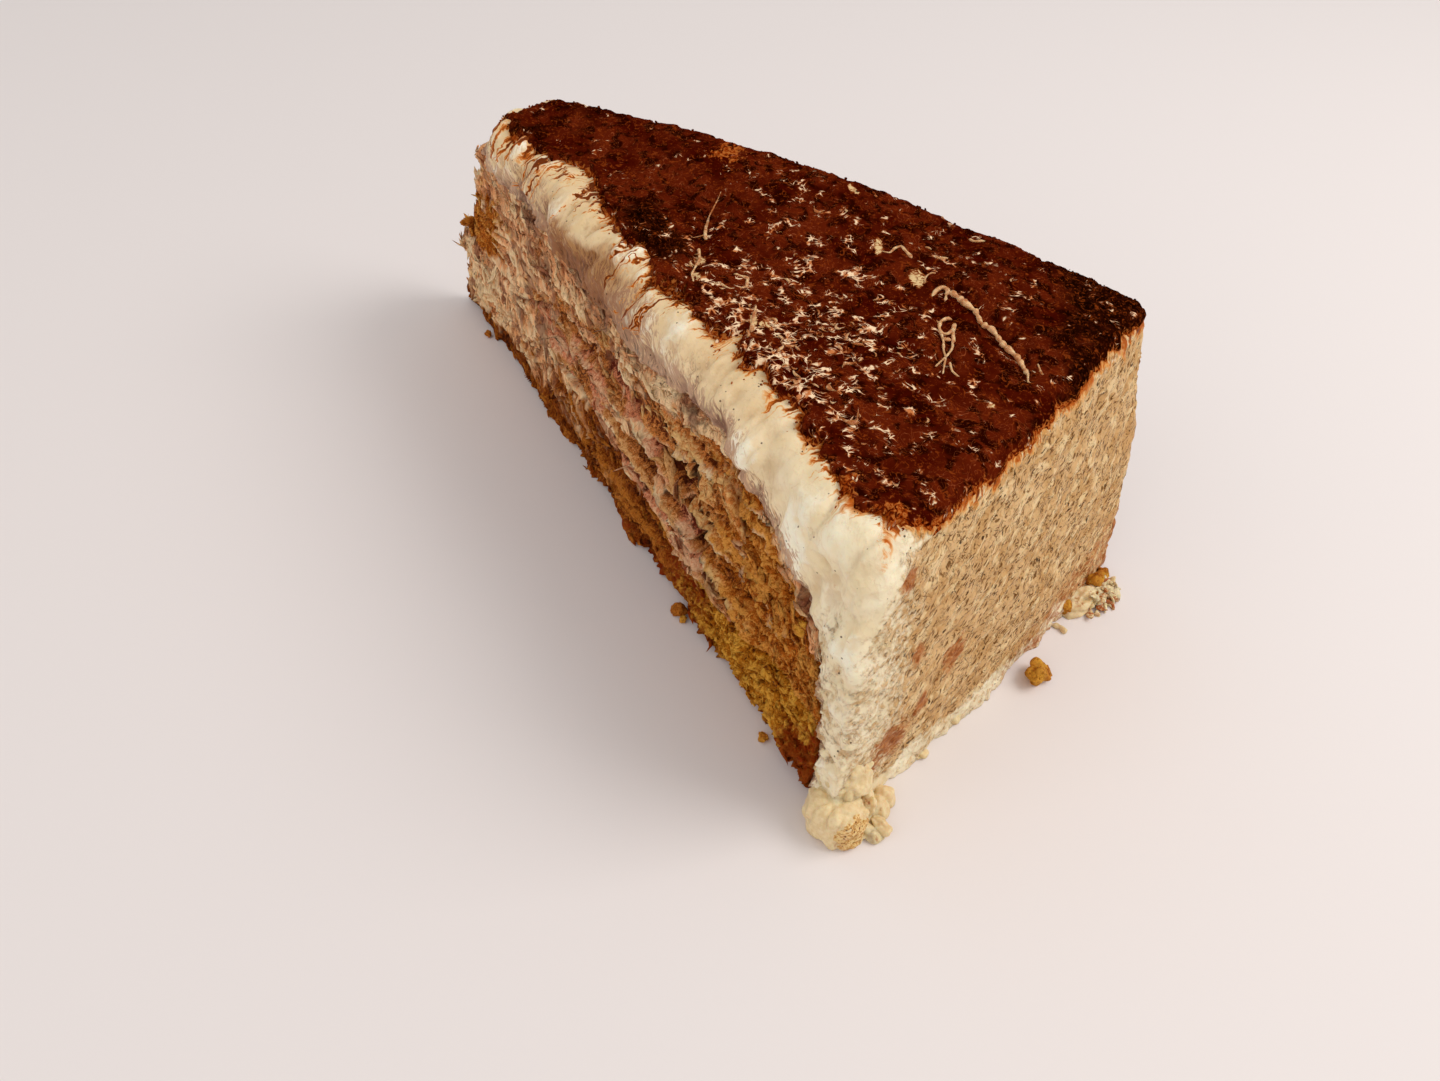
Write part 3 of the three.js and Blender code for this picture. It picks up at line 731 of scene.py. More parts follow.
def frosting_inside(x, z):
    """Inner line of the cream for each outer point: the sponge outline at the same share of its length,
    which is where the solids have it, moved back a little at the tip."""
    columns = np.linspace(LAST_COLUMN, 0, 400)
    inner_x, inner_z = outline(columns)
    edge_x = rim_x(FROSTING_TOP) - RIM_EDGE_RADIUS
    start_x = tip_x(FROSTING_TOP) + FROSTING_TIP_BACK[1]
    on_top = np.where(
        x <= STRAIGHT_END_X,
        STRAIGHT_COLUMNS * (x - start_x) / (STRAIGHT_END_X - start_x),
        STRAIGHT_COLUMNS + 2 * (x - STRAIGHT_END_X) / (edge_x - STRAIGHT_END_X),
    )
    corner_z = FROSTING_TOP - RIM_EDGE_RADIUS
    down = np.clip((corner_z - z) / corner_z, 0, 1)
    arc = 26 + 2 * np.clip((FROSTING_TOP - z) / RIM_EDGE_RADIUS, 0, 1)
    column = np.where(z >= FROSTING_TOP - 1e-6, on_top, np.where(down > 0, blend(28, LAST_COLUMN, down), arc))
    back = FROSTING_TIP_BACK[0] * np.maximum(1 - column / 3, 0)
    order = columns[::-1]
    return np.interp(column, order, inner_x[::-1]) + back, np.interp(column, order, inner_z[::-1])


def top_rise(x, t):
    """What the top rises above its plain height: crown, spatula step and waves, less the dropped edges."""
    bulge = far_bulge(x, FROSTING_TOP)
    width = 2 * half_width(x) + bulge
    near = (t + 1) / 2 * width
    far = (1 - t) / 2 * width
    beyond_tip = smooth(x, tip_x(FROSTING_TOP), tip_x(FROSTING_TOP) + 24)
    near_width = np.minimum(NEAR_SHOULDER[0], 0.45 * width) * blend(0.55, 1, beyond_tip)
    crown = CROWN * smooth(t, -0.3, 0.9) * hill(x, 2, 36)
    y = half_width(x) * t + bulge * (t + 1) / 2
    step = SPATULA_STEP * smooth(y, 10, 16) * smooth(x, 30, 42)
    tip = round_drop(x - tip_x(FROSTING_TOP) - FROSTING_TIP_BACK[1], (3.0, 0.8))
    tip = tip - 1.8 * hill(x, tip_x(FROSTING_TOP), 12)
    edges = round_drop(near, (near_width, NEAR_SHOULDER[1]))
    edges = edges + round_drop(far, FAR_SHOULDER) * blend(0.4, 1, beyond_tip)
    return crown + step - tip - edges + 0.5 * flat_noise(x / 14, y / 12, 31)


def cocoa_reach(points, near, far, rim, tip):
    """How far inside the cocoa's border a point lies, in millimetres, negative outside it. It is the least
    of the distances in from the near cut, the far cut, the rim edge and the tip, each less its own inset
    and the tongues of its border."""
    x, y = points[..., 0], points[..., 1]
    wander = noise(points, 301, (5, 5, 30)) + 0.5 * noise(points, 302, (1.8, 1.8, 30))

    def tongues(along, inwards, seed):
        """Long narrow tongues across the border, in clumps."""
        along = along + 0.35 * inwards + 0.8 * noise(points / 3, seed)
        inwards = inwards + 0 * along
        coarse = noise(np.stack([along / 2.6, inwards / 8, 0 * along], -1), seed + 1)
        fine = noise(np.stack([along / 1.1, inwards / 4, 0 * along], -1), seed + 2)
        clump = smooth(noise(np.stack([along / 8, 0 * along, 0 * along], -1), seed + 3), -0.5, 0.3)
        return (0.3 + 0.7 * clump) * (1.5 * coarse + 0.8 * fine)

    from_near = near - np.interp(x, *zip(*COCOA_NEAR_INSET)) - 1.1 * wander - 1.9 * tongues(x, near, 303)
    from_far = far - 0.9 * (1 + 0.8 * wander)
    corner = 2.6 * hill(y, -34, 5)
    from_rim = rim - 0.4 - corner - 0.5 * wander - 0.7 * tongues(y, rim, 307)
    from_tip = tip - 1.5 * (1 + 0.8 * wander)
    return np.minimum(np.minimum(from_near, from_far), np.minimum(from_rim, from_tip))


def coat_surface(x_out, z_out, normal, x_in, z_in, travelled, t, out01):
    """Points of the cream between its inner (out01 = 0) and outer (1) line, with the smeared relief of the
    top, rim and cut faces. Gives the points, masks, flow coordinates and cocoa reach."""
    on_top = smooth(z_out, FROSTING_TOP - 16, FROSTING_TOP)
    thick = np.hypot(x_out - x_in, z_out - z_in)
    x = blend(x_in, x_out, out01)
    z = blend(z_in, z_out + top_rise(x_out, t) * on_top, out01)
    points = place(x, z, t)
    near, far = from_cuts(x, z, t)
    below = (1 - out01) * thick
    # Relief square to the cut faces, fading inwards over the outer surface.
    ragged = noise(points / 1.5, 314) + 0.7 * noise(points / 0.7, 315)
    inner_mm = out01 * thick
    torn = 1 - smooth(inner_mm + 1.6 * ragged, 0.5, 5.5)
    swell = smeared(points, 305)
    side = 0.2 + 0.6 * noise(points, 310, (9, 9, 6)) + swell + 0.1 * noise(points / 0.6, 313)
    folds = np.abs(noise(points, 316, (7, 7, 16))) + 0.4 * np.abs(noise(points, 311, (3, 3, 8)))
    side = side + 1.6 * folds - 0.6 + 0.25 * noise(points, 312, (1.3, 1.3, 4))
    side = side + torn * (0.5 * crumb(points, 330, 0.8) + shred(points, 335))
    groove = blend(1.3, 2.3, smooth(x, 10, 30) * (1 - smooth(x, 60, 68)))
    side = side - groove * (1 - smooth(inner_mm + 0.9 * ragged, -0.3, 0.3 + groove))
    beside = hill(np.minimum(near, far), 0, 1.4)
    # Relief square to the outer surface: swells and strokes on the rim, soft waves on the top.
    rim = smooth(x_out, 62, 70) * (1 - smooth(z_out, FROSTING_TOP - 4, FROSTING_TOP))
    cos, sin = math.cos(RIM_STROKE_TURN), math.sin(RIM_STROKE_TURN)
    stroke_y = points[..., 1] * cos - points[..., 2] * sin
    stroke_z = points[..., 1] * sin + points[..., 2] * cos
    strokes = np.stack([points[..., 0] / 3, stroke_y / 1.0, stroke_z / 3.0], -1)
    furrows = 0.28 * (1 - 2.2 * np.abs(noise(strokes + 0.6 * noise(points / 2.5, 319)[..., None], 321)))
    outer = rim * (0.5 * noise(points / 7, 320) + furrows + 0.12 * noise(points / 0.9, 322))
    lip_z = np.interp(points[..., 1], *zip(*FOOT_LIP_Z))
    under_lip = smooth(lip_z - points[..., 2] + 1.2 * noise(points / 2.2, 323), -0.5, 1.2)
    lip = under_lip * (0.5 + 0.4 * noise(points / 2.4, 324) + 0.2 * noise(points / 1.0, 325))
    foot = (1 - smooth(z, 0, 5)) * (0.5 + 0.9 * noise(points / 3.6, 326) + 0.4 * noise(points / 1.3, 327))
    outer = outer + rim * (0.55 * lip + 0.8 * foot)
    outer = outer + (1 - rim) * (0.25 * noise(points / 5, 328) + 0.08 * noise(points / 1.2, 329))
    # Folds that run down over the near shoulder.
    bent = points + 0.8 * noise(points / 4, 330)[..., None]
    creased = np.abs(noise(bent, 317, (3.6, 12, 9))) + 0.45 * np.abs(noise(bent, 318, (1.7, 6, 5)))
    shoulder = (1 - rim) * (1 - smooth(near, 6, 11))
    outer = outer + shoulder * 1.7 * (creased - 0.4)
    deep = hill(below, 0, 1.4)
    from_dent = np.linalg.norm(points - np.array(DENT["at"]), axis=-1)
    dent = hill(from_dent, 0, DENT["size"])
    outer = outer - DENT["depth"] * dent
    points = points + cut_normal(np.sign(t) * smooth(np.abs(t), 0, 1)) * (side * beside)[..., None]
    points = points + normal * (outer * deep)[..., None]
    points[..., 2] = np.maximum(points[..., 2], 0)
    # Masks: tan colour of the rim, soaked lower band of the cut cream (partly soak, partly painted shade
    # along the inner edge and in the dent), white foot lip, and how raised a point is (painted shade in
    # hollows and painted highlights on raised folds).
    tan_edge = np.interp(points[..., 2], *zip(*TAN_EDGE_Y))
    past_edge = points[..., 1] - tan_edge
    tan = rim * (0.35 * smooth(past_edge + 1.2 * ragged, -1, 2) + 0.65 * smooth(points[..., 1], -38, -22))
    tan = np.maximum(tan, 0.9 * smooth(x_out, 55, 62) * deep * smooth(points[..., 1], -33, -28) * (1 - rim))
    x_side = points[..., 0]
    # The band along the cream's inner line is partly soaked cream and partly painted shade where the cream
    # meets the sponge; wide at the tip, narrow towards the rim.
    band_and_shade_width = blend(14.0, 7.5, smooth(x_side, 5, 45)) - 4 * smooth(x_side, 55, 68)
    band_and_shade_width = band_and_shade_width * blend(0.6, 1, smooth(x_side, -60, -38))
    band_and_shade_width = band_and_shade_width + 2.8 * noise(points, 337, (8, 8, 30))
    from_inner = np.hypot(x - x_in, z - z_in) + 0.6 * np.minimum(near, far)
    from_inner = from_inner + 0.8 * ragged + 1.8 * noise(points / 4, 336)
    soaked_band_and_shade = 1 - smooth(from_inner, 0.2 * band_and_shade_width, band_and_shade_width)
    # The dent takes the band's grey as painted shade.
    soaked_band_and_shade = np.maximum(soaked_band_and_shade, 0.9 * dent)
    along_near = points[..., 0] + 0.5 * below
    from_rim = rim_edge_distance(travelled)
    from_tip = points[..., 0] - tip_x(HEIGHT) - 3 - below
    reach = cocoa_reach(points, near - below, far - below, from_rim, from_tip)
    across = np.where(from_rim < near - below, 200 + points[..., 1], along_near)
    flow = np.stack([across, reach], -1)
    # How raised a point is, for painted shade in the hollows and painted highlights on the raised folds and
    # shoulder creases.
    lifted = 0.5 + 0.4 * (swell - 0.3 + 0.3 * ragged + 1.4 * (folds - 0.4)) * beside + 0.2 * ragged * torn
    lifted = lifted + 0.75 * shoulder * (creased - 0.42) * (1 - 0.5 * beside)
    masks = stack_masks(tan, soaked_band_and_shade, under_lip * rim, lifted)
    return points, masks, flow.reshape(-1, 2), reach, rim * rust_amount(points)


def rust_amount(points):
    """How rusty the rim's cream is: round patches, and a band along the foot that widens to the far side."""
    y, z = points[..., 1], points[..., 2]
    rust = 0.6 * smooth(y - 1.3 * z, -14, 10) * (1 - smooth(z, 3 + 0.1 * y, 12 + 0.25 * y))
    rust = rust + 0.5 * smooth(y, 40, 43)
    for patch_y, patch_z, size in RUST_PATCHES:
        rust = np.maximum(rust, np.exp(-((y - patch_y) ** 2 + (0.8 * (z - patch_z)) ** 2) / size**2))
    return rust


def rim_edge_distance(travelled):
    """Distance along the cream's outer line from the middle of the rim edge, positive on the top."""
    edge_at = FROSTING_TOP - RIM_EDGE_RADIUS / 2
    return travelled - edge_at


def across_lines(count):
    """Cuts t from -1 to 1, closer together near the two cut faces."""
    even = np.linspace(-1, 1, count)
    return 0.72 * even + 0.28 * np.sin(even * math.pi / 2)


def cream_coat(per_side=430, tip_pairs=8, rows=27, across=163):
    """The cream as a bent plate: a belt of cut faces round its edge, a fine outer sheet that joins the two
    sides of the belt, and a hidden inner strip. One ring closes it under the rim's foot."""
    x, z, normal, travelled = frosting_outside(per_side, 0.38)
    x_in, z_in = frosting_inside(x, z)
    z_in[0] = 0.0
    sides = [round_belt(line, tip_pairs) for line in (x, z, normal, x_in, z_in, travelled)]
    t = belt_cuts(per_side, tip_pairs)
    overlap = 0.09
    out01 = np.linspace(-overlap, 1, rows)[None]
    belt, masks, flow, reach, rust = coat_surface(*sides, t, out01)
    belt[0, :, 2] = 0
    belt[-1, :, 2] = 0
    number = np.arange(len(t) * rows).reshape(-1, rows)
    # The outer sheet: its two edges are the belt's outer edge, and the points between are new.
    half = per_side + tip_pairs
    lines = [line[:half] for line in sides]
    lines[2] = lines[2].reshape(half, 1, 3)
    inner_t = across_lines(across)[1:-1][None] * np.abs(t[:half])
    sheet, sheet_masks, sheet_flow, sheet_reach, sheet_rust = coat_surface(*lines, inner_t, np.ones((1, 1)))
    first = number.size
    inner = first + np.arange(half * (across - 2)).reshape(half, across - 2)
    grid = np.concatenate([number[:half, -1:], inner, number[::-1][:half, -1:]], 1)
    quads = np.concatenate([grid_quads(number), grid_quads(grid), cap_faces(number[:, 0], False)])
    tip_ring = grid[-1]
    foot_ring = np.concatenate([number[0], grid[0][1:-1], number[-1][::-1]])[::-1]
    points = np.concatenate([belt.reshape(-1, 3), sheet.reshape(-1, 3)])
    return make_piece(
        "cream_coat",
        points,
        [quads, tip_ring[None], foot_ring[None]],
        masks=np.concatenate([masks, sheet_masks]),
        flow=np.concatenate([flow, sheet_flow]),
        reach=np.concatenate([reach.ravel(), sheet_reach.ravel()]),
        rust=np.concatenate([rust.ravel(), sheet_rust.ravel()]),
    )


# Cocoa


def cocoa_sheet(steps=420, across=211):
    """Powder lying on the cream. Its top stands above the cream by a thickness that grows with the distance
    inside the border, plus granular noise, and sinks under the cream outside it. The underside is one
    coarse strip inside the cream, joined to the top by short walls."""
    x, z, _, travelled = frosting_outside(900)
    keep = z > FROSTING_TOP - 2.0
    at = np.linspace(travelled[keep][0], travelled[-1], steps)
    x, z = np.interp(at, travelled, x)[:, None], np.interp(at, travelled, z)[:, None]
    t = 1 - (1 - across_lines(across)[None]) * (1 - 0.8 / half_width(x))
    level = z + top_rise(x, t) * smooth(z, FROSTING_TOP - 16, FROSTING_TOP)
    points = place(x + 0 * t, level, t)
    near, far = from_cuts(x, level, t)
    rim = rim_edge_distance(at)[:, None] + 0 * t
    reach = cocoa_reach(points, near, far, rim, points[..., 0] - tip_x(HEIGHT) - 3)
    tufts = noise(points, 341, (1.1, 1.1, 30)) + 0.7 * noise(points, 342, (0.55, 0.55, 30))
    depth = smooth(reach + 0.4 * tufts, -0.2, 1.6)
    grain = 0.14 * noise(points / 2.0, 343) + 0.03 * noise(points / 0.9, 344)
    grain = grain + 0.22 * matte_patches(points) * noise(points / 0.9, 346)
    lumps_near, _, lump_tag = cells(points / 3.0, 345)
    lumps = 0.45 * bowl(lumps_near, 0.75) * lump_tag
    furrow = crease_height(points)
    sunk = -0.5 - 1.6 * smooth(-reach, 1.0, 3.5)
    rise = blend(sunk, COCOA_RISE - 0.15, depth) + depth * (grain + lumps + furrow)
    lifted = points.copy()
    lifted[..., 2] += rise
    number = np.arange(steps * across).reshape(steps, across)
    under = points[:, [0, -1]].copy()
    under[..., 2] -= 1.6
    under[:, 0, 1] += 0.3
    under[:, 1, 1] -= 0.3
    low = number.size + np.arange(steps * 2).reshape(steps, 2)
    near_wall = np.stack([number[:-1, 0], number[1:, 0], low[1:, 0], low[:-1, 0]], -1)
    far_wall = np.stack([number[1:, -1], number[:-1, -1], low[:-1, 1], low[1:, 1]], -1)
    bottom = np.stack([low[:-1, 0], low[1:, 0], low[1:, 1], low[:-1, 1]], -1)
    rings = [
        np.concatenate([[low[0, 0], low[0, 1]], number[0][::-1]]),
        np.concatenate([number[-1], [low[-1, 1], low[-1, 0]]]),
    ]
    lattice = lattice_density(points)
    matte = matte_patches(points)
    bare = 0.0
    for spot_x, spot_y, size in THIN_SPOTS:
        away = np.hypot(points[..., 0] - spot_x, points[..., 1] - spot_y) + 1.6 * tufts
        bare = np.maximum(bare, 1 - smooth(away, 0.6 * size, 1.3 * size))
    spots = 0.0
    for spot_x, spot_y, long, wide, turn in CREAM_SPOTS:
        dx, dy = points[..., 0] - spot_x, points[..., 1] - spot_y
        u = (dx * math.cos(turn) + dy * math.sin(turn)) / long
        v = (dy * math.cos(turn) - dx * math.sin(turn)) / wide
        spots = np.maximum(spots, 1 - smooth(u * u + v * v + 0.2 * tufts, 0.2, 1.6))
    masks = stack_masks(depth * (1 - 0.7 * bare), lattice, matte, spots)
    all_points = np.concatenate([lifted.reshape(-1, 3), under.reshape(-1, 3)])
    quads = np.concatenate([grid_quads(number), near_wall, far_wall, bottom])
    return make_piece(
        "cocoa_dust",
        all_points,
        [quads, *(ring[None] for ring in rings)],
        masks=np.concatenate([masks, masks[number[:, [0, -1]].ravel()]]),
        reach=np.concatenate([reach.ravel(), reach[:, [0, -1]].ravel()]),
    )


def lattice_density(points):
    """Where pale cream shows through the cocoa as a broken net: most between the middle and the rim."""
    x, y = points[..., 0], points[..., 1]
    middle = np.exp(-(((x - 30) / 30) ** 2) - (((y + 4 + 0.1 * x) / 17) ** 2))
    near_edge = 0.55 * np.exp(-(((x - 40) / 20) ** 2) - (((y + 20 + 0.2 * (x - 40)) / 5) ** 2))
    far_side = 0.4 * np.exp(-(((x - 40) / 18) ** 2) - (((y - 23) / 4) ** 2))
    patch = noise(points, 351, (7, 7, 30))
    return 0.08 * smooth(x, -25, 0) + 0.62 * middle + near_edge + far_side + 0.14 * patch


def matte_patches(points):
    """Dark dry patches of cocoa: one by the near edge, one along the rim's far corner."""
    x, y = points[..., 0], points[..., 1]
    near_patch = np.exp(-(((x + 5) / 10) ** 4) - (((y + 8.5 + 0.35 * (x + 5)) / 5.5) ** 4))
    far_patch = smooth(x + 0.8 * y, 62, 86)
    tip_patch = 0.5 * hill(x, -44, 10)
    ragged = noise(points, 361, (3, 3, 30))
    return smooth(np.maximum(np.maximum(near_patch, far_patch), tip_patch) + 0.3 * ragged, 0.25, 0.9)


def crease_height(points):
    """Shallow furrows beside the creases, from the distance to their chains of straight pieces."""
    height = 0.0
    for chain in CREASES:
        distance = 99.0
        for (x0, y0), (x1, y1) in zip(chain[:-1], chain[1:]):
            run = np.array([x1 - x0, y1 - y0])
            offset = points[..., :2] - np.array([x0, y0])
            along = np.clip(offset @ run / (run @ run), 0, 1)
            distance = np.minimum(distance, np.linalg.norm(offset - along[..., None] * run, axis=-1))
        height = height - 0.55 * hill(distance, 0, 1.7) + 0.35 * hill(distance, 3.2, 1.6)
    return height


# Lumps, beads, crumbs, flakes and grains


def ball_grid(around, rows):
    """Unit directions of a ball drawn as level rows of points, its quads and its two pole rings."""
    polar = np.linspace(-math.pi / 2, math.pi / 2, rows + 2)[1:-1, None]
    azimuth = np.arange(around) * 2 * math.pi / around
    level = np.cos(polar)
    directions = np.stack([level * np.cos(azimuth), level * np.sin(azimuth), np.sin(polar) + 0 * azimuth], -1)
    number = np.arange(around * rows).reshape(rows, around)
    return directions.reshape(-1, 3), ring_quads(number), np.stack([number[0][::-1], number[-1]])


def balls(centres, sizes, turns, around, rows, rough, seed, bend=0.0):
    """Uneven bodies. Each point is a direction times one plus noise, stretched by the body's three half
    sizes, bent along its third axis by the square of its place on the first, turned with its axes and moved
    to its centre. Gives the points by body, and the faces."""
    directions, quads, rings = ball_grid(around, rows)
    shift = np.arange(len(centres))[:, None, None] * 7.31
    radius = 1 + rough * cloud(directions[None] * 1.3 + shift, seed, 2)
    points = directions[None] * radius[..., None] * sizes[:, None, :]
    bends = bend * (2 * hashed(np.arange(len(centres)), 0, 0, seed + 5) - 1) / sizes[:, 0]
    points[..., 2] += bends[:, None] * points[..., 0] ** 2
    points = np.einsum("npi,nij->npj", points, turns) + centres[:, None, :]
    first = np.arange(len(centres))[:, None, None] * len(directions)
    return points, [(quads[None] + first).reshape(-1, 4), (rings[None] + first).reshape(-1, around)]


def random_turns(count, draw):
    """Random axes: the orthogonal part of a random matrix, with one axis flipped where it is a mirror."""
    turns = np.linalg.qr(draw.normal(size=(count, 3, 3)))[0]
    turns[:, 0] *= np.linalg.det(turns)[:, None]
    return turns


def axes_from(first, second):
    """Right-handed axes: the first as given, the others square to it with the second close to the given."""
    first = unit(first)
    third = unit(np.cross(first, second))
    return np.stack([first, np.cross(third, first), third], 1)


def loose_piece(name, bodies, masks):
    """A piece of loose bodies, none of which reaches under the floor. Each body has masks of its own."""
    points, faces = bodies
    points[..., 2] = np.maximum(points[..., 2], 0)
    return make_piece(name, points.reshape(-1, 3), faces, np.repeat(masks, points.shape[1], axis=0))


def cut_flakes(name, count, layer, seed):
    """Torn flakes on a layer's cut faces and tip, long along the layer. They stand on its own relief and take
    its own masks, with a level of painted shading drawn for each."""
    draw = np.random.default_rng(seed)
    at_tip = draw.random(count) < 0.04
    column = np.where(at_tip, 0.0, layer["last_column"] * draw.random(count))
    t = np.where(at_tip, draw.uniform(-1, 1, count), np.sign(draw.random(count) - 0.5))
    part = draw.random(count) ** layer["crowding"]

    def on_layer(column):
        low_x, low_z = layer["low_at"](column)
        high_x, high_z = layer["high_at"](column)
        return place(blend(low_x, high_x, part), blend(low_z, high_z, part), t)

    points = on_layer(column)
    relief, _, lip = layer["relief_at"](points, part)
    out = cut_normal(t)
    points = points + out * (np.maximum(relief, -0.5 * half_width(points[..., 0])) + 0.05)[:, None]
    level = np.cross(np.array([0.0, 0.0, 1.0]), out)
    ahead = on_layer(column + 0.2) - on_layer(column)
    run = np.einsum("ni,ni->n", ahead, level)
    slope = np.where(at_tip, 0.0, ahead[:, 2] / np.where(np.abs(run) < 0.05, 1.0, run))
    slope = slope + np.sign(t) * np.tan(strand_lean(points[:, 0]))
    along = level + np.array([0, 0, 1.0]) * slope[:, None] + 0.3 * draw.normal(size=(count, 3))
    turns = axes_from(along, out + 0.25 * draw.normal(size=(count, 3)))
    size = np.exp(0.38 * draw.normal(size=(count, 1)))
    sizes = size * np.array(layer["flake"]) * draw.uniform(0.7, 1.3, (count, 3))
    masks = layer["masks_at"](points, part, column, draw.uniform(0.3, 1.1, count), lip)
    return loose_piece(name, balls(points, sizes, turns, 6, 6, 0.4, seed, 1.1), masks)


def scatter_on_top(count, draw, keep):
    """Random places on the top: section x and cut t, spread evenly over the plan, with their points on the
    cream and their reach inside the cocoa's border. keep says which stay, by points and reach."""
    tries = count * 12
    x = draw.uniform(TIP_X + 22, rim_x(FROSTING_TOP) - 1.2, tries)
    t = draw.uniform(-1, 1, tries)
    widest = half_width(rim_x(FROSTING_TOP))
    level = FROSTING_TOP + top_rise(x, t)
    points = place(x, level, t)
    near, far = from_cuts(x, level, t)
    rim = rim_x(FROSTING_TOP) - RIM_EDGE_RADIUS / 2 - x
    reach = cocoa_reach(points, near, far, rim, points[..., 0] - tip_x(HEIGHT) - 3)
    chosen = (draw.random(tries) * widest < half_width(x)) & keep(points, reach)
    return points[chosen][:count], reach[chosen][:count]


def cream_flecks(count=420):
    """Thin bent curls of cream that lie in the cocoa, thickest where the pale net is densest."""
    draw = np.random.default_rng(51)
    points, _ = scatter_on_top(
        count, draw, lambda p, reach: (reach > 1.2) & (draw.random(len(p)) < 0.7 * lattice_density(p) ** 3)
    )
    flat = np.stack([share * draw.normal(size=len(points)) for share in (1, 1, 0.08)], -1)
    turns = axes_from(flat, np.array([0, 0, 1.0]) + 0.15 * draw.normal(size=(len(points), 3)))
    sizes = np.exp(0.4 * draw.normal(size=(len(points), 1))) * np.array([0.5, 0.11, 0.12])
    points[:, 2] += COCOA_RISE + 0.05
    tinge = draw.uniform(0.2, 0.9, len(points))
    bodies = balls(points, sizes, turns, 6, 7, 0.3, 52, 1.4)
    return loose_piece("cream_flecks", bodies, stack_masks(0, tinge, 0, 0 * tinge))


def cocoa_grains(count=900):
    """Clumps of powder on the dry patches of the cocoa and, smaller, scattered over its ragged border."""
    draw = np.random.default_rng(61)
    points, reach = scatter_on_top(
        count,
        draw,
        lambda p, reach: (reach > -1.5 - 2.5 * draw.random(len(p)) ** 3)
        & (draw.random(len(p)) < np.where(reach < 1, 0.9, 0.08 + 0.5 * matte_patches(p))),
    )
    inside = smooth(reach, -0.5, 1.5)
    sizes = np.exp(0.4 * draw.normal(size=(len(points), 1))) * blend(0.15, 0.22, inside)[:, None]
    sizes = sizes * draw.uniform(0.7, 1.3, (len(points), 3))
    points[:, 2] += blend(0.05, COCOA_RISE, inside)
    masks = stack_masks(blend(0.3, 1.0, inside), 0, matte_patches(points), 0 * inside)
    bodies = balls(points, sizes, random_turns(len(points), draw), 6, 3, 0.4, 62)
    return loose_piece("cocoa_grains", bodies, masks)


def on_cream(plan):
    """Points of the cream's top at places of the plan, by moving the section place and cut until they fit."""
    x, t = plan[:, 0].copy(), plan[:, 1] / half_width(plan[:, 0])
    for _ in range(5):
        points = place(x, FROSTING_TOP + top_rise(x, t), t)
        x = x + plan[:, 0] - points[:, 0]
        t = t + (plan[:, 1] - points[:, 1]) / half_width(x)
    return points


def cream_strands(around=8):
    """Strands of cream along the creases. Each is a ring of points swept along its softened line, with a
    half width that goes from one value to the other, swells into beads where asked, and closes at both
    ends."""
    angle = np.arange(around) * 2 * math.pi / around
    all_points, quads, rings, masks, first = [], [], [], [], 0
    for number, (chain, start, end, beads, tinge) in enumerate(STRANDS):
        chain = np.array(chain)
        gone = np.concatenate([[0], np.cumsum(np.linalg.norm(np.diff(chain, axis=0), axis=-1))])
        at = np.linspace(0, gone[-1], max(10, int(gone[-1] / 0.2)))
        plan = np.stack([np.interp(at, gone, chain[:, n]) for n in range(2)], -1)
        for _ in range(4):
            plan[1:-1] = 0.25 * plan[:-2] + 0.5 * plan[1:-1] + 0.25 * plan[2:]
        middle = on_cream(plan)
        middle[:, 2] += COCOA_RISE - 0.05
        wander = noise(np.stack([at / 1.1, 0 * at, 0 * at + number], -1), 71)
        width = blend(start, end, at / gone[-1]) * (1 + 0.3 * wander)
        width = width * blend(1.0, 0.62 + 0.6 * np.abs(np.sin(at * math.pi / 1.7 + wander)), beads)
        width = width * np.sqrt(np.clip(np.minimum(at, gone[-1] - at) / 0.5, 0.04, 1))
        forward = np.gradient(middle, axis=0)
        axes = axes_from(forward, np.array([0, 0, 1.0]) + 0 * forward)
        ring = np.cos(angle)[:, None] * axes[:, None, 2] + np.sin(angle)[:, None] * axes[:, None, 1]
        points = middle[:, None] + width[:, None, None] * ring
        points = points + 0.16 * width[:, None, None] * ring * noise(points / 0.45, 73)[..., None]
        index = first + np.arange(points.shape[0] * around).reshape(-1, around)
        quads.append(ring_quads(index)[:, [0, 3, 2, 1]])
        rings.append(np.stack([index[0], index[-1][::-1]]))
        spotted = np.clip(tinge + 0.5 * np.clip(wander - 0.2, 0, 1), 0, 1)
        masks.append(stack_masks(0, np.repeat(spotted, around), 0, np.repeat(0 * at, around)))
        all_points.append(points.reshape(-1, 3))
        first += index.size
    faces = [np.concatenate(quads), np.concatenate(rings)]
    return make_piece("crease_strands", np.concatenate(all_points), faces, np.concatenate(masks))


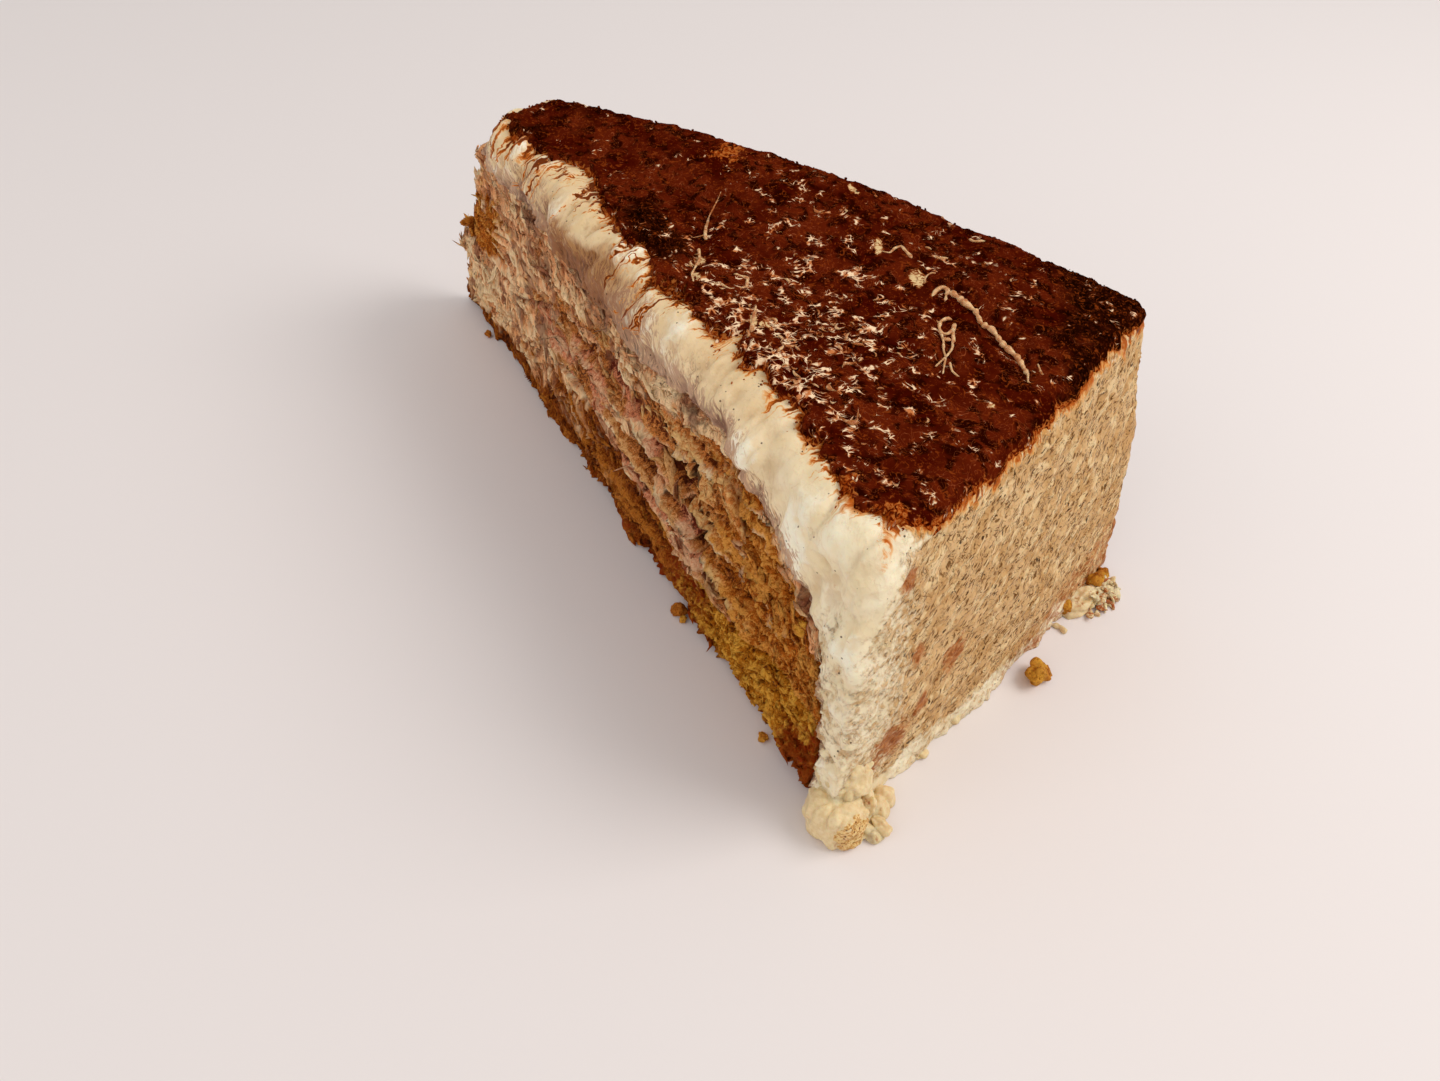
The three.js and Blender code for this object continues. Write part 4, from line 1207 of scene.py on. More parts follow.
def cream_lumps():
    """The squeezed cream at the foot: uneven balls pressed flat on the floor, one with a porous side."""
    centres, sizes = (np.array(part, float) for part in zip(*CREAM_LUMPS))
    turns = np.repeat(np.eye(3)[None], len(centres), 0)
    points, faces = balls(centres, sizes, turns, 96, 60, 0.16, 81)
    away = unit((points - centres[:, None]) / sizes[:, None])
    side = away @ np.array(POROUS_SIDE)
    side[1:] = -1
    porous = smooth(side + 0.12 * noise(points / 1.1, 82) + 0.06 * noise(points / 0.5, 87), 0.68, 0.78)
    pits, _, depth = cells(points / 0.75, 83)
    relief = 0.14 * noise(points / 1.6, 84) - porous * 0.5 * depth * bowl(pits, 0.55)
    flat = smooth(np.abs(noise(points / 2.3, 88)), 0, 0.5)
    relief = relief + 0.7 * (flat - 0.6) * (1 - porous) + 0.2 * noise(points / 0.8, 89) * (side < -0.5)
    points = points + away * relief[..., None]
    points[..., 2] = np.maximum(points[..., 2], 0)
    low_shade = 0.35 * (1 - smooth(points[..., 2], 0, 1.5))
    tinge = smooth(noise(points / 1.8, 85), 0.35, 0.8) * 0.4 * (points[..., 0] > 77)
    masks = stack_masks(porous, tinge, low_shade, 0.5 + 0.5 * noise(points / 3, 86))
    return make_piece("squeezed_cream", points.reshape(-1, 3), faces, masks)


def loose_crumbs():
    """Sponge crumbs beside the slice and where some stick to it, rough and angular."""
    draw = np.random.default_rng(91)
    centres, sizes, golden = (np.array(part, float) for part in zip(*CRUMBS))
    bodies = balls(centres, sizes, random_turns(len(centres), draw), 24, 16, 0.42, 92)
    points = bodies[0]
    points += unit(points - centres[:, None]) * (0.35 * crumb(points * 1.6, 93))[..., None]
    # The first mask is high: the crumbs take the pale colour of raised torn edges, partly painted light.
    masks = stack_masks(0.95, 0, 0.55 * golden, 0.1)
    return loose_piece("loose_crumbs", bodies, masks)


def foot_cluster(count=80):
    """Small flat bent crumbs of cream heaped at the rim's far foot."""
    draw = np.random.default_rng(95)
    offset = draw.normal(size=(count, 2)) * np.array([1.3, 2.6])
    centres = np.stack([79.6 + offset[:, 0], 33.2 + offset[:, 1], draw.uniform(0.3, 3.0, count)], -1)
    centres[:, 0] = np.minimum(centres[:, 0], 82.2)
    centres[:, 2] *= np.exp(-np.sum((offset / np.array([2.6, 5.0])) ** 2, -1))
    sizes = draw.uniform(0.4, 1.0, (count, 1)) * np.array([1.6, 0.9, 0.4])
    sizes = sizes * draw.uniform(0.7, 1.3, (count, 3))
    tinge = 0.9 * draw.random(count) * (draw.random(count) < 0.35) + 0.6 * smooth(-offset[:, 0], 0.4, 1.5)
    bodies = balls(centres, sizes, random_turns(count, draw), 12, 8, 0.5, 96, 0.8)
    return loose_piece("cream_crumbs", bodies, stack_masks(0, tinge, 0, 0 * tinge))


# Shading


class Shade:
    """Builds one node tree. Each call adds a node and gives the socket that it puts out."""

    def __init__(self, tree):
        self.tree = tree

    def fill(self, node, inputs):
        """Links each input that is given a socket, and sets each that is given a value."""
        for name, value in inputs.items():
            if isinstance(value, bpy.types.NodeSocket):
                self.tree.links.new(value, node.inputs[name])
            else:
                node.inputs[name].default_value = value

    def put(self, kind, inputs, output=0, **settings):
        node = self.tree.nodes.new(kind)
        for name, value in settings.items():
            setattr(node, name, value)
        self.fill(node, inputs)
        return node.outputs[output]

    def place_mm(self):
        """Object coordinates in millimetres."""
        at = self.put("ShaderNodeTexCoord", {}, "Object")
        return self.put("ShaderNodeVectorMath", {0: at, "Scale": 1000.0}, operation="SCALE")

    def stretch(self, vector, scale, turn=(0, 0, 0)):
        """The vector turned, then multiplied by a scale for each axis."""
        turned = self.put("ShaderNodeMapping", {"Vector": vector, "Rotation": turn})
        return self.put("ShaderNodeMapping", {"Vector": turned, "Scale": scale})

    def noise(self, vector, scale, detail=2.0, roughness=0.5, distortion=0.0):
        inputs = {"Vector": vector, "Scale": scale, "Detail": detail}
        inputs.update({"Roughness": roughness, "Distortion": distortion})
        return self.put("ShaderNodeTexNoise", inputs, "Fac")

    def swayed(self, vector, at, scale, detail, size):
        """The vector moved by a coloured noise of the place, times a size."""
        sway = self.put("ShaderNodeTexNoise", {"Vector": at, "Scale": scale, "Detail": detail}, "Color")
        sway = self.put("ShaderNodeVectorMath", {0: sway, "Scale": size}, operation="SCALE")
        return self.put("ShaderNodeVectorMath", {0: vector, 1: sway}, operation="ADD")

    def cell_border(self, vector, scale):
        """Distance to the nearest border between scattered cells."""
        inputs = {"Vector": vector, "Scale": scale}
        return self.put("ShaderNodeTexVoronoi", inputs, "Distance", feature="DISTANCE_TO_EDGE")

    def math(self, operation, a, b=0.5):
        return self.put("ShaderNodeMath", {0: a, 1: b}, operation=operation)

    def plus(self, a, b):
        return self.math("ADD", a, b)

    def minus(self, a, b):
        return self.math("SUBTRACT", a, b)

    def times(self, a, b):
        return self.math("MULTIPLY", a, b)

    def off_middle(self, value):
        """How far a noise is from its middle, which is least along thin winding lines."""
        return self.math("ABSOLUTE", self.minus(value, 0.5))

    def frayed(self, value, noise, by):
        """The value, made as much as this less or more where the noise is low or high."""
        return self.plus(value, self.between(noise, 0.3, 0.7, -by, by))

    def between(self, value, low, high, to_low=0.0, to_high=1.0):
        """Goes smoothly from to_low to to_high as the value goes from low to high."""
        inputs = {"Value": value, "From Min": low, "From Max": high, "To Min": to_low, "To Max": to_high}
        return self.put("ShaderNodeMapRange", inputs, interpolation_type="SMOOTHSTEP")

    def mix(self, part, a, b, blend_type="MIX"):
        inputs = {0: part, 6: a, 7: b}
        return self.put("ShaderNodeMix", inputs, 2, data_type="RGBA", blend_type=blend_type)

    def tones(self, value, low, high, first, last):
        """From the first colour to the last as the value goes from low to high."""
        return self.mix(self.between(value, low, high), srgb(*first), srgb(*last))

    def tint(self, colour, value, low, high, goal, most=1.0):
        """The colour, turning by at most this share to the goal as the value goes from low to high."""
        return self.mix(self.between(value, low, high, 0.0, most), colour, srgb(*goal))

    def paint(self, colour, mask, goal, most):
        """The colour, turning by at most this share to the goal where the mask is."""
        return self.mix(self.times(mask, most), colour, srgb(*goal))

    def attribute(self, name, output="Fac"):
        return self.put("ShaderNodeAttribute", {}, output, attribute_name=name)

    def masks(self):
        split = self.tree.nodes.new("ShaderNodeSeparateColor")
        self.tree.links.new(self.attribute("masks", "Color"), split.inputs[0])
        return [split.outputs[n] for n in range(3)] + [self.attribute("masks", "Alpha")]

    def bump(self, height, distance_mm, strength):
        inputs = {"Height": height, "Distance": distance_mm * MM, "Strength": strength}
        return self.put("ShaderNodeBump", inputs, "Normal")

    def use(self, group, inputs, output):
        node = self.tree.nodes.new("ShaderNodeGroup")
        node.node_tree = group
        self.fill(node, inputs)
        return [node.outputs[name] for name in output]

    def specks(self, group, at, spacing, size, share):
        inputs = {"Place": at, "Spacing": spacing, "Size": size, "Share": share}
        return self.use(group, inputs, ("Mask",))[0]


def srgb(red, green, blue):
    """A colour from its 0..255 display values, as the linear values that shaders use."""
    parts = [value / 255 for value in (red, green, blue)]
    return tuple(p / 12.92 if p <= 0.04045 else ((p + 0.055) / 1.055) ** 2.4 for p in parts) + (1.0,)


def new_group(name, inputs, outputs):
    """An empty shader group with its sockets, a builder for it, and its input and output nodes."""
    tree = bpy.data.node_groups.new(name, "ShaderNodeTree")
    kinds = {float: "NodeSocketFloat", tuple: "NodeSocketColor", Vector: "NodeSocketVector"}
    for label, value in inputs.items():
        socket = tree.interface.new_socket(label, in_out="INPUT", socket_type=kinds[type(value)])
        socket.default_value = value
    for label, kind in outputs.items():
        tree.interface.new_socket(label, in_out="OUTPUT", socket_type=kinds[kind])
    return Shade(tree), tree.nodes.new("NodeGroupInput"), tree.nodes.new("NodeGroupOutput")


def torn_crumb_group():
    """Colour of torn sponge by how far a point is lifted: painted shade in the pores and low places, paler on
    the raised torn edges, partly their own colour and partly painted light, with curled fibres and cracks in
    the colour, and their height."""
    inputs = {
        "Place": Vector((0, 0, 0)),
        "Lift": 0.5,
        "Deep": (0.1, 0.05, 0.02, 1.0),
        "Body": (0.4, 0.2, 0.1, 1.0),
        "Torn": (0.6, 0.4, 0.2, 1.0),
    }
    shade, given, result = new_group("torn_crumb", inputs, {"Colour": tuple, "Height": float})
    place_socket = given.outputs["Place"]
    grain = shade.noise(place_socket, 0.7, 3.0, 0.55, 1.6)
    level = shade.plus(given.outputs["Lift"], shade.between(grain, 0.28, 0.72, -0.32, 0.32))
    # Curled fibres are pale and thin cracks dark, each where its own swirled noise passes the middle.
    for scale, wide, strength in ((0.9, 0.05, 0.26), (0.55, 0.022, -0.5), (1.7, 0.05, 0.14)):
        line = shade.off_middle(shade.noise(place_socket, scale, 1.0, 0.5, 2.6))
        level = shade.plus(level, shade.between(line, wide, 0.0, 0.0, strength))
    body = shade.mix(shade.between(level, 0.06, 0.5), given.outputs["Deep"], given.outputs["Body"])
    colour = shade.mix(shade.between(level, 0.55, 1.02), body, given.outputs["Torn"])
    shade.fill(result, {"Colour": colour, "Height": level})
    return shade.tree


def specks_group(dimensions):
    """Mask of small dark specks: the middles of scattered cells, of which only a share is kept."""
    inputs = {"Place": Vector((0, 0, 0)), "Spacing": 1.0, "Size": 0.1, "Share": 0.5}
    shade, given, result = new_group("specks_" + dimensions, inputs, {"Mask": float})
    scale = shade.math("DIVIDE", 1.0, given.outputs["Spacing"])
    cell = shade.tree.nodes.new("ShaderNodeTexVoronoi")
    cell.voronoi_dimensions = dimensions
    shade.fill(cell, {"Vector": given.outputs["Place"], "Scale": scale})
    split = shade.put("ShaderNodeSeparateColor", {0: cell.outputs["Color"]})
    kept = shade.math("LESS_THAN", split, given.outputs["Share"])
    size = shade.math("DIVIDE", given.outputs["Size"], given.outputs["Spacing"])
    near = shade.math("DIVIDE", cell.outputs["Distance"], size)
    shade.fill(result, {"Mask": shade.times(shade.between(near, 1.0, 0.6), kept)})
    return shade.tree


TORN_CRUMB = torn_crumb_group()
SPECKS = specks_group("3D")
FLAT_SPECKS = specks_group("2D")


def new_material(name):
    """A material with a node tree, its builder and its Principled shader."""
    material = bpy.data.materials.new(name)
    material.use_nodes = True
    return material, Shade(material.node_tree), material.node_tree.nodes["Principled BSDF"]


def connect(shade, shader, colour, roughness, normal, gloss):
    shader.inputs["Specular IOR Level"].default_value = gloss
    for name, socket in (("Base Color", colour), ("Roughness", roughness), ("Normal", normal)):
        shade.tree.links.new(socket, shader.inputs[name])


def soften(shader, weight, radius_mm):
    """Light that spreads inside soft food, farther for red than for blue."""
    shader.inputs["Subsurface Weight"].default_value = weight
    shader.inputs["Subsurface Radius"].default_value = (1.0, 0.55, 0.3)
    shader.inputs["Subsurface Scale"].default_value = radius_mm * MM


def sponge_material(name, plain, golden, smeared, crust_and_shade):
    """Torn sponge: plain crumb, turning golden by the gold mask, smeared with wet cream, and darkened by the
    dark mask towards the layer's dark colour: at the foot and rim end of the bottom sponge, and as painted
    shade in the holes and between the torn leaves of the other layers. Each colour set is deep, body and torn
    edge: painted shade in low places, the body, and raised edges paler partly by painted light."""
    material, shade, shader = new_material(name)
    at = shade.place_mm()
    painted_shading, smear, gold, dark = shade.masks()
    # Smeared cream is drawn out in strands that run down towards the rim.
    strands_at = shade.stretch(at, (0.62, 0.3, 0.15), (0, 0.7, 0))
    crumbs = []
    for where, (deep, body, torn) in ((at, plain), (at, golden), (strands_at, smeared)):
        inputs = {"Place": where, "Lift": painted_shading, "Deep": srgb(*deep), "Body": srgb(*body), "Torn": srgb(*torn)}
        crumbs.append(shade.use(TORN_CRUMB, inputs, ("Colour", "Height")))
    (plain_colour, plain_height), (golden_colour, _), (drawn, drawn_height) = crumbs
    gold_part = shade.frayed(gold, shade.noise(at, 0.45, 2.0), 0.2)
    colour = shade.mix(shade.between(gold_part, 0.2, 0.8), plain_colour, golden_colour)
    smear_part = shade.frayed(smear, shade.noise(strands_at, 0.9, 3.0), 0.25)
    smear_part = shade.between(smear_part, 0.25, 0.75)
    # In the smears: mauve and pale patches, and long thin cracks.
    tone = shade.noise(strands_at, 0.42, 2.0, 0.5, 0.5)
    drawn = shade.tint(drawn, tone, 0.5, 0.36, (140, 88, 66), 0.75)
    drawn = shade.tint(drawn, tone, 0.53, 0.64, (255, 224, 178), 0.8)
    crack = shade.between(shade.off_middle(shade.noise(strands_at, 0.8, 1.0, 0.5, 1.2)), 0.016, 0.004)
    crack = shade.times(crack, shade.between(shade.noise(at, 0.3, 1.0), 0.46, 0.56))
    drawn = shade.paint(drawn, crack, (84, 36, 16), 0.85)
    colour = shade.mix(smear_part, colour, drawn)
    height = shade.mix(smear_part, plain_height, drawn_height)
    # Painted shade: the dark mask darkens holes and crevices towards the layer's dark colour; on the bottom
    # sponge it darkens the foot and rim end.
    dark_and_shade_part = shade.plus(dark, shade.between(shade.noise(at, 0.8, 3.0), 0.3, 0.7, -0.25, 0.2))
    colour = shade.tint(colour, dark_and_shade_part, 0.2, 0.9, crust_and_shade, 0.9)
    roughness = shade.between(shade.noise(at, 1.2, 2.0), 0.3, 0.7, 0.5, 0.75)
    connect(shade, shader, colour, roughness, shade.bump(height, 0.5, 0.8), 0.06)
    soften(shader, 0.12, 1.0)
    return material


def cream_material():
    """Smeared cream: white on the cut shoulder, with painted shade in its hollows and painted highlights on
    its raised folds, greyer in the wet band along its inner edge (partly painted shade), tan and stroked on
    the rim, specked, and stained with cocoa in brushed streaks outside the powder's border."""
    material, shade, shader = new_material("mascarpone_cream")
    at = shade.place_mm()
    tan, soaked_band_and_shade, lip, lifted = shade.masks()
    reach = shade.attribute("reach")
    flow = shade.put("ShaderNodeUVMap", {}, uv_map="flow")
    wide = shade.noise(at, 0.16, 3.0, 0.55)
    fine = shade.noise(at, 0.9, 3.0, 0.6)
    height = shade.frayed(lifted, fine, 0.07)
    along = shade.put("ShaderNodeSeparateXYZ", {0: at}, "X")
    white = shade.tones(wide, 0.3, 0.7, (238, 218, 178), (252, 238, 206))
    white = shade.tint(white, along, 66.0, 30.0, (222, 184, 130), 0.6)
    # Painted shade in the hollows between the folds, and a painted highlight on the raised folds.
    folded = shade.between(height, 0.5, 0.15, 0.0, 0.85)
    folded = shade.times(folded, shade.between(along, 45.0, -20.0, 0.35, 1.0))
    white = shade.mix(folded, white, srgb(178, 132, 82))
    white = shade.tint(white, height, 0.68, 1.05, (255, 248, 226), 0.85)
    # Soaked band, partly soak and partly painted shade along the cream's inner edge: greyish, darker in its
    # hollows as painted shade, brushed across by thin strands.
    brushed = shade.noise(shade.stretch(at, (1.7, 0.6, 0.3), (0, 0.7, 0)), 1.0, 3.0, 0.6, 1.2)
    grey = shade.tones(height, 0.2, 0.7, (132, 94, 76), (192, 154, 126))
    grey = shade.tint(grey, brushed, 0.46, 0.36, (92, 58, 42))
    grey = shade.tint(grey, brushed, 0.56, 0.66, (226, 192, 150))
    wet = shade.plus(soaked_band_and_shade, shade.between(brushed, 0.35, 0.65, -0.4, 0.4))
    colour = shade.mix(shade.between(wet, 0.25, 0.75), white, grey)
    # Coffee has soaked up into the lower shoulder halfway to the tip.
    coffee = shade.times(shade.between(along, -36.0, -20.0), shade.between(along, 16.0, -6.0))
    coffee = shade.times(coffee, shade.between(soaked_band_and_shade, 0.02, 0.4))
    colour = shade.mix(coffee, colour, srgb(200, 168, 140), "MULTIPLY")
    tan_part = shade.frayed(tan, fine, 0.25)
    tan_part = shade.minus(tan_part, shade.times(lip, 0.7))
    tan_part = shade.between(tan_part, 0.1, 0.75)
    rim_colour, dents, rust = rim_marks(shade, at, wide)
    colour = shade.mix(tan_part, colour, rim_colour)
    colour = shade.tint(colour, rust, 0.62, 0.84, (176, 98, 42), 0.8)
    colour = shade.tint(colour, rust, 0.84, 1.0, (122, 54, 14), 0.7)
    colour = shade.paint(colour, shade.specks(SPECKS, at, 1.6, 0.2, 0.45), (60, 36, 16), 0.85)
    # Cocoa stain: tufts of hairs reach outwards from the border, thin and orange at their ends.
    flow = shade.swayed(flow, at, 0.45, 2.0, 3.0)
    flow = shade.put("ShaderNodeMapping", {"Vector": flow, "Rotation": (0, 0, 0.35)})
    strand = shade.noise(shade.stretch(flow, (1.1, 0.19, 0.02)), 1.0, 3.0, 0.6, 0.4)
    dust = shade.noise(at, 2.2, 3.0, 0.6)
    length = shade.frayed(shade.between(strand, 0.38, 0.66, -1.0, 3.6), dust, 0.3)
    clump = shade.noise(shade.stretch(flow, (0.13, 0.03, 0.02)), 1.0, 1.0)
    length = shade.times(length, shade.between(clump, 0.4, 0.6, 0.6, 1.6))
    length = shade.times(length, shade.between(tan, 0.2, 0.8, 1.0, 0.55))
    length = shade.times(length, shade.between(along, -5.0, 35.0, 1.6, 0.55))
    stained = shade.plus(reach, length)
    colour = shade.tint(colour, stained, -0.9, 0.3, (228, 156, 76), 0.8)
    colour = shade.tint(colour, stained, 0.0, 1.0, (188, 94, 20))
    colour = shade.tint(colour, stained, 1.1, 2.4, (112, 46, 0))
    relief = shade.plus(shade.times(fine, 0.6), shade.times(dents, tan_part))
    roughness = shade.between(fine, 0.3, 0.7, 0.4, 0.62)
    connect(shade, shader, colour, roughness, shade.bump(relief, 0.3, 0.9), 0.08)
    soften(shader, 0.2, 1.5)
    return material


def rim_marks(shade, at, wide):
    """Tan rim: pale smooth streaks, brown dashes and curls that lean towards the far top, rusty patches.
    Gives the colour, the height of the marks and how rusty a place is."""
    turn = (RIM_STROKE_TURN, 0, 0)
    fine = shade.noise(at, 1.6, 3.0, 0.6)
    bent = shade.swayed(at, at, 0.7, 2.0, 1.1)
    colour = shade.tones(wide, 0.35, 0.65, (204, 158, 102), (222, 182, 130))
    colour = shade.tint(colour, fine, 0.52, 0.32, (164, 114, 62), 0.5)
    streak = shade.noise(shade.stretch(bent, (0.4, 0.52, 0.24), turn), 1.0, 2.0, 0.5, 0.5)
    pale = shade.between(streak, 0.54, 0.64)
    colour = shade.paint(colour, pale, (238, 208, 158), 0.75)
    curl = shade.noise(shade.stretch(bent, (0.6, 0.9, 0.5), turn), 1.0, 1.0, 0.5, 1.8)
    curl_line = shade.between(shade.off_middle(curl), 0.035, 0.01)
    curl_line = shade.times(curl_line, shade.between(shade.noise(at, 0.8, 1.0), 0.44, 0.54))
    colour = shade.paint(colour, curl_line, (122, 78, 30), 0.85)
    # In the plane of the rim: the second axis runs across the strokes and the first along them.
    flat = shade.stretch(bent, (1, 1, 1), turn)
    flat = shade.put("ShaderNodeMapping", {"Vector": flat, "Rotation": (0, math.pi / 2, 0)})
    dashes = shade.specks(FLAT_SPECKS, shade.stretch(flat, (0.42, 1.75, 1)), 1.0, 0.26, 0.82)
    dashes = shade.times(dashes, shade.minus(1.0, shade.times(pale, 0.7)))
    colour = shade.paint(colour, dashes, (112, 70, 22), 0.85)
    pits = shade.specks(FLAT_SPECKS, shade.stretch(flat, (0.3, 0.8, 1)), 1.0, 0.13, 0.4)
    colour = shade.paint(colour, pits, (48, 24, 8), 0.9)
    rusty = shade.noise(shade.stretch(bent, (0.3, 1.1, 0.5), turn), 1.0, 4.0, 0.7, 0.8)
    rust = shade.plus(rusty, shade.times(shade.attribute("rust"), 0.4))
    height = shade.minus(shade.times(streak, 1.5), shade.times(dashes, 0.7))
    height = shade.minus(height, shade.times(curl_line, 0.5))
    return colour, height, rust


def squeezed_material(name, hollow, raised):
    """Squeezed and crumbled cream: smooth and yellowish, with a porous tan side, a tinge of cocoa and
    darker low edges."""
    material, shade, shader = new_material(name)
    at = shade.place_mm()
    porous, tinge, low_shade, wide = shade.masks()
    fine = shade.noise(at, 1.1, 3.0, 0.6)
    colour = shade.tones(fine, 0.3, 0.7, hollow, raised)
    colour = shade.paint(colour, wide, (206, 178, 128), 0.3)
    grain = shade.noise(at, 1.9, 2.0, 0.6)
    pitted = shade.tones(grain, 0.4, 0.6, (196, 142, 70), (240, 206, 142))
    pitted = shade.mix(shade.specks(SPECKS, at, 0.75, 0.24, 0.7), pitted, srgb(122, 70, 16))
    colour = shade.mix(shade.between(shade.frayed(porous, fine, 0.3), 0.4, 0.7), colour, pitted)
    colour = shade.tint(colour, shade.frayed(tinge, grain, 0.3), 0.15, 0.9, (168, 92, 40))
    colour = shade.mix(low_shade, colour, srgb(190, 150, 104))
    height = shade.plus(fine, shade.times(grain, porous))
    roughness = shade.between(fine, 0.3, 0.7, 0.36, 0.55)
    connect(shade, shader, colour, roughness, shade.bump(height, 0.15, 0.7), 0.25)
    soften(shader, 0.3, 1.8)
    return material


def cocoa_material():
    """Damp cocoa: red-brown powder with dark clumps, a broken net of pale cream showing through, hairline
    scratches, dry matte patches, and an orange tinge where the powder is thin."""
    material, shade, shader = new_material("cocoa")
    at = shade.place_mm()
    depth, lattice, matte, spots = shade.masks()
    wide = shade.noise(at, 0.12, 3.0, 0.6)
    clump = shade.noise(at, 0.42, 1.0, 0.5, 0.6)
    fine = shade.noise(at, 2.2, 3.0, 0.65)
    body = shade.tones(wide, 0.35, 0.65, (62, 8, 1), (92, 26, 6))
    body = shade.tint(body, clump, 0.54, 0.36, (38, 4, 0))
    hair = shade.off_middle(shade.noise(at, 0.4, 0.0, 0.5, 2.4))
    hair = shade.times(shade.between(hair, 0.012, 0.003, 0.0, 0.6), shade.between(wide, 0.44, 0.54))
    body = shade.mix(hair, body, srgb(168, 88, 50))
    dry = shade.tones(shade.noise(at, 1.1, 3.0, 0.6, 0.8), 0.5, 0.68, (18, 3, 0), (62, 20, 5))
    body = shade.mix(shade.times(matte, 0.9), body, dry)
    # Where the powder is thin it lies in curled orange strands.
    strand = shade.noise(at, 0.8, 3.0, 0.6, 2.2)
    strands = shade.tones(strand, 0.52, 0.66, (150, 60, 12), (214, 138, 66))
    strands = shade.tint(strands, strand, 0.5, 0.4, (80, 20, 2))
    thin_at = shade.plus(depth, shade.between(strand, 0.3, 0.7, 0.25, -0.25))
    body = shade.mix(shade.between(thin_at, 0.7, 0.3), body, strands)
    # Net of pale lines: borders of warped cells at two sizes, wide where the density and a noise are high,
    # with an orange halo.
    net_at = shade.stretch(shade.swayed(at, at, 0.4, 1.0, 3.2), (0.75, 1.12, 0.02), (0, 0, -0.71))
    dense = shade.times(shade.noise(at, 0.36, 2.0, 0.6), 1.5)
    dense = shade.plus(shade.minus(dense, 0.25), shade.times(lattice, 0.34))
    coarse_line = shade.minus(shade.between(dense, 0.53, 1.0, -0.03, 0.1), shade.cell_border(net_at, 0.48))
    fine_line = shade.minus(shade.between(dense, 0.57, 1.0, -0.03, 0.09), shade.cell_border(net_at, 0.85))
    over = shade.math("MAXIMUM", coarse_line, fine_line)
    over = shade.plus(over, shade.between(fine, 0.35, 0.65, -0.01, 0.01))
    halo = shade.times(shade.between(over, -0.05, 0.01), shade.between(dense, 0.6, 0.85, 0.0, 0.8))
    colour = shade.mix(halo, body, srgb(150, 64, 22))
    net = shade.between(over, 0.0, 0.03)
    pale = shade.tones(shade.noise(at, 0.9, 2.0), 0.38, 0.58, (200, 120, 68), (252, 220, 180))
    colour = shade.mix(net, colour, pale)
    # Smooth patches of cream that show through, with an orange-brown border.
    shown = shade.frayed(spots, strand, 0.5)
    colour = shade.tint(colour, shown, 0.2, 0.6, (140, 60, 18), 0.8)
    spot_colour = shade.tones(shown, 0.5, 1.1, (176, 112, 60), (224, 192, 140))
    colour = shade.mix(shade.between(shown, 0.5, 0.85), colour, spot_colour)
    height = shade.plus(shade.times(clump, 0.9), shade.times(net, 0.7))
    height = shade.plus(height, shade.times(shade.times(fine, matte), 0.6))
    roughness = shade.between(matte, 0.0, 1.0, 0.45, 0.8)
    connect(shade, shader, colour, roughness, shade.bump(height, 0.35, 0.8), 0.0)
    return material


# Light, floor and camera. Places and sizes are in metres, lengths in the picture in pixels.

PICTURE_WIDTH = 1440
FOCAL_LENGTH = 1081
HORIZON_ABOVE_MIDDLE = 1140
SENSOR_WIDTH_MM = 36.0
CAMERA_AT = (0.11645, -0.12282, 0.155)
CLIP_START = 0.005
LIGHT_AIM = (0, 0, 0.02)
FLOOR_HALF = 3.0
FLOOR_LEVEL = -0.00005


def make_camera():
    """The photograph's view: a level heading, pitched down and rolled a little about its own axis."""
    heading = math.radians(40.75)
    pitch = math.atan2(HORIZON_ABOVE_MIDDLE, FOCAL_LENGTH)
    roll = math.radians(6.0)
    right = Vector((math.cos(heading), math.sin(heading), 0))
    ahead = Vector((-math.sin(heading), math.cos(heading), 0))
    up = Vector((0, 0, 1))
    forward = ahead * math.cos(pitch) - up * math.sin(pitch)
    above = ahead * math.sin(pitch) + up * math.cos(pitch)
    x_axis = right * math.cos(roll) + above * math.sin(roll)
    y_axis = above * math.cos(roll) - right * math.sin(roll)
    turned = Matrix((x_axis, y_axis, -forward)).transposed().to_4x4()
    data = bpy.data.cameras.new("camera")
    data.sensor_width = SENSOR_WIDTH_MM
    data.lens = SENSOR_WIDTH_MM * FOCAL_LENGTH / PICTURE_WIDTH
    data.clip_start = CLIP_START
    camera = bpy.data.objects.new("camera", data)
    camera.matrix_world = Matrix.Translation(CAMERA_AT) @ turned
    bpy.context.scene.collection.objects.link(camera)
    bpy.context.scene.camera = camera


def add_light(name, place_at, size, power, colour):
    """A square soft light, turned to face the aim point."""
    data = bpy.data.lights.new(name, "AREA")
    data.size = size
    data.energy = power
    data.color = colour
    lamp = bpy.data.objects.new(name, data)
    lamp.location = place_at
    lamp.rotation_euler = (Vector(LIGHT_AIM) - Vector(place_at)).to_track_quat("-Z", "Y").to_euler()
    bpy.context.scene.collection.objects.link(lamp)


def make_light():
    """A soft key from the right and behind, a weak fill from the left, and a pale sky all round."""
    add_light("key_light", (0.42, 0.36, 0.62), size=0.45, power=3.1, colour=(1.0, 0.975, 0.94))
    add_light("fill_light", (-0.1, -0.75, 0.5), size=0.7, power=1.3, colour=(1.0, 0.97, 0.95))
    world = bpy.data.worlds.new("sky")
    world.use_nodes = True
    background = world.node_tree.nodes["Background"]
    background.inputs["Color"].default_value = (1.0, 0.985, 0.97, 1.0)
    background.inputs["Strength"].default_value = 0.6
    bpy.context.scene.world = world
    bpy.context.scene.view_settings.view_transform = "Standard"


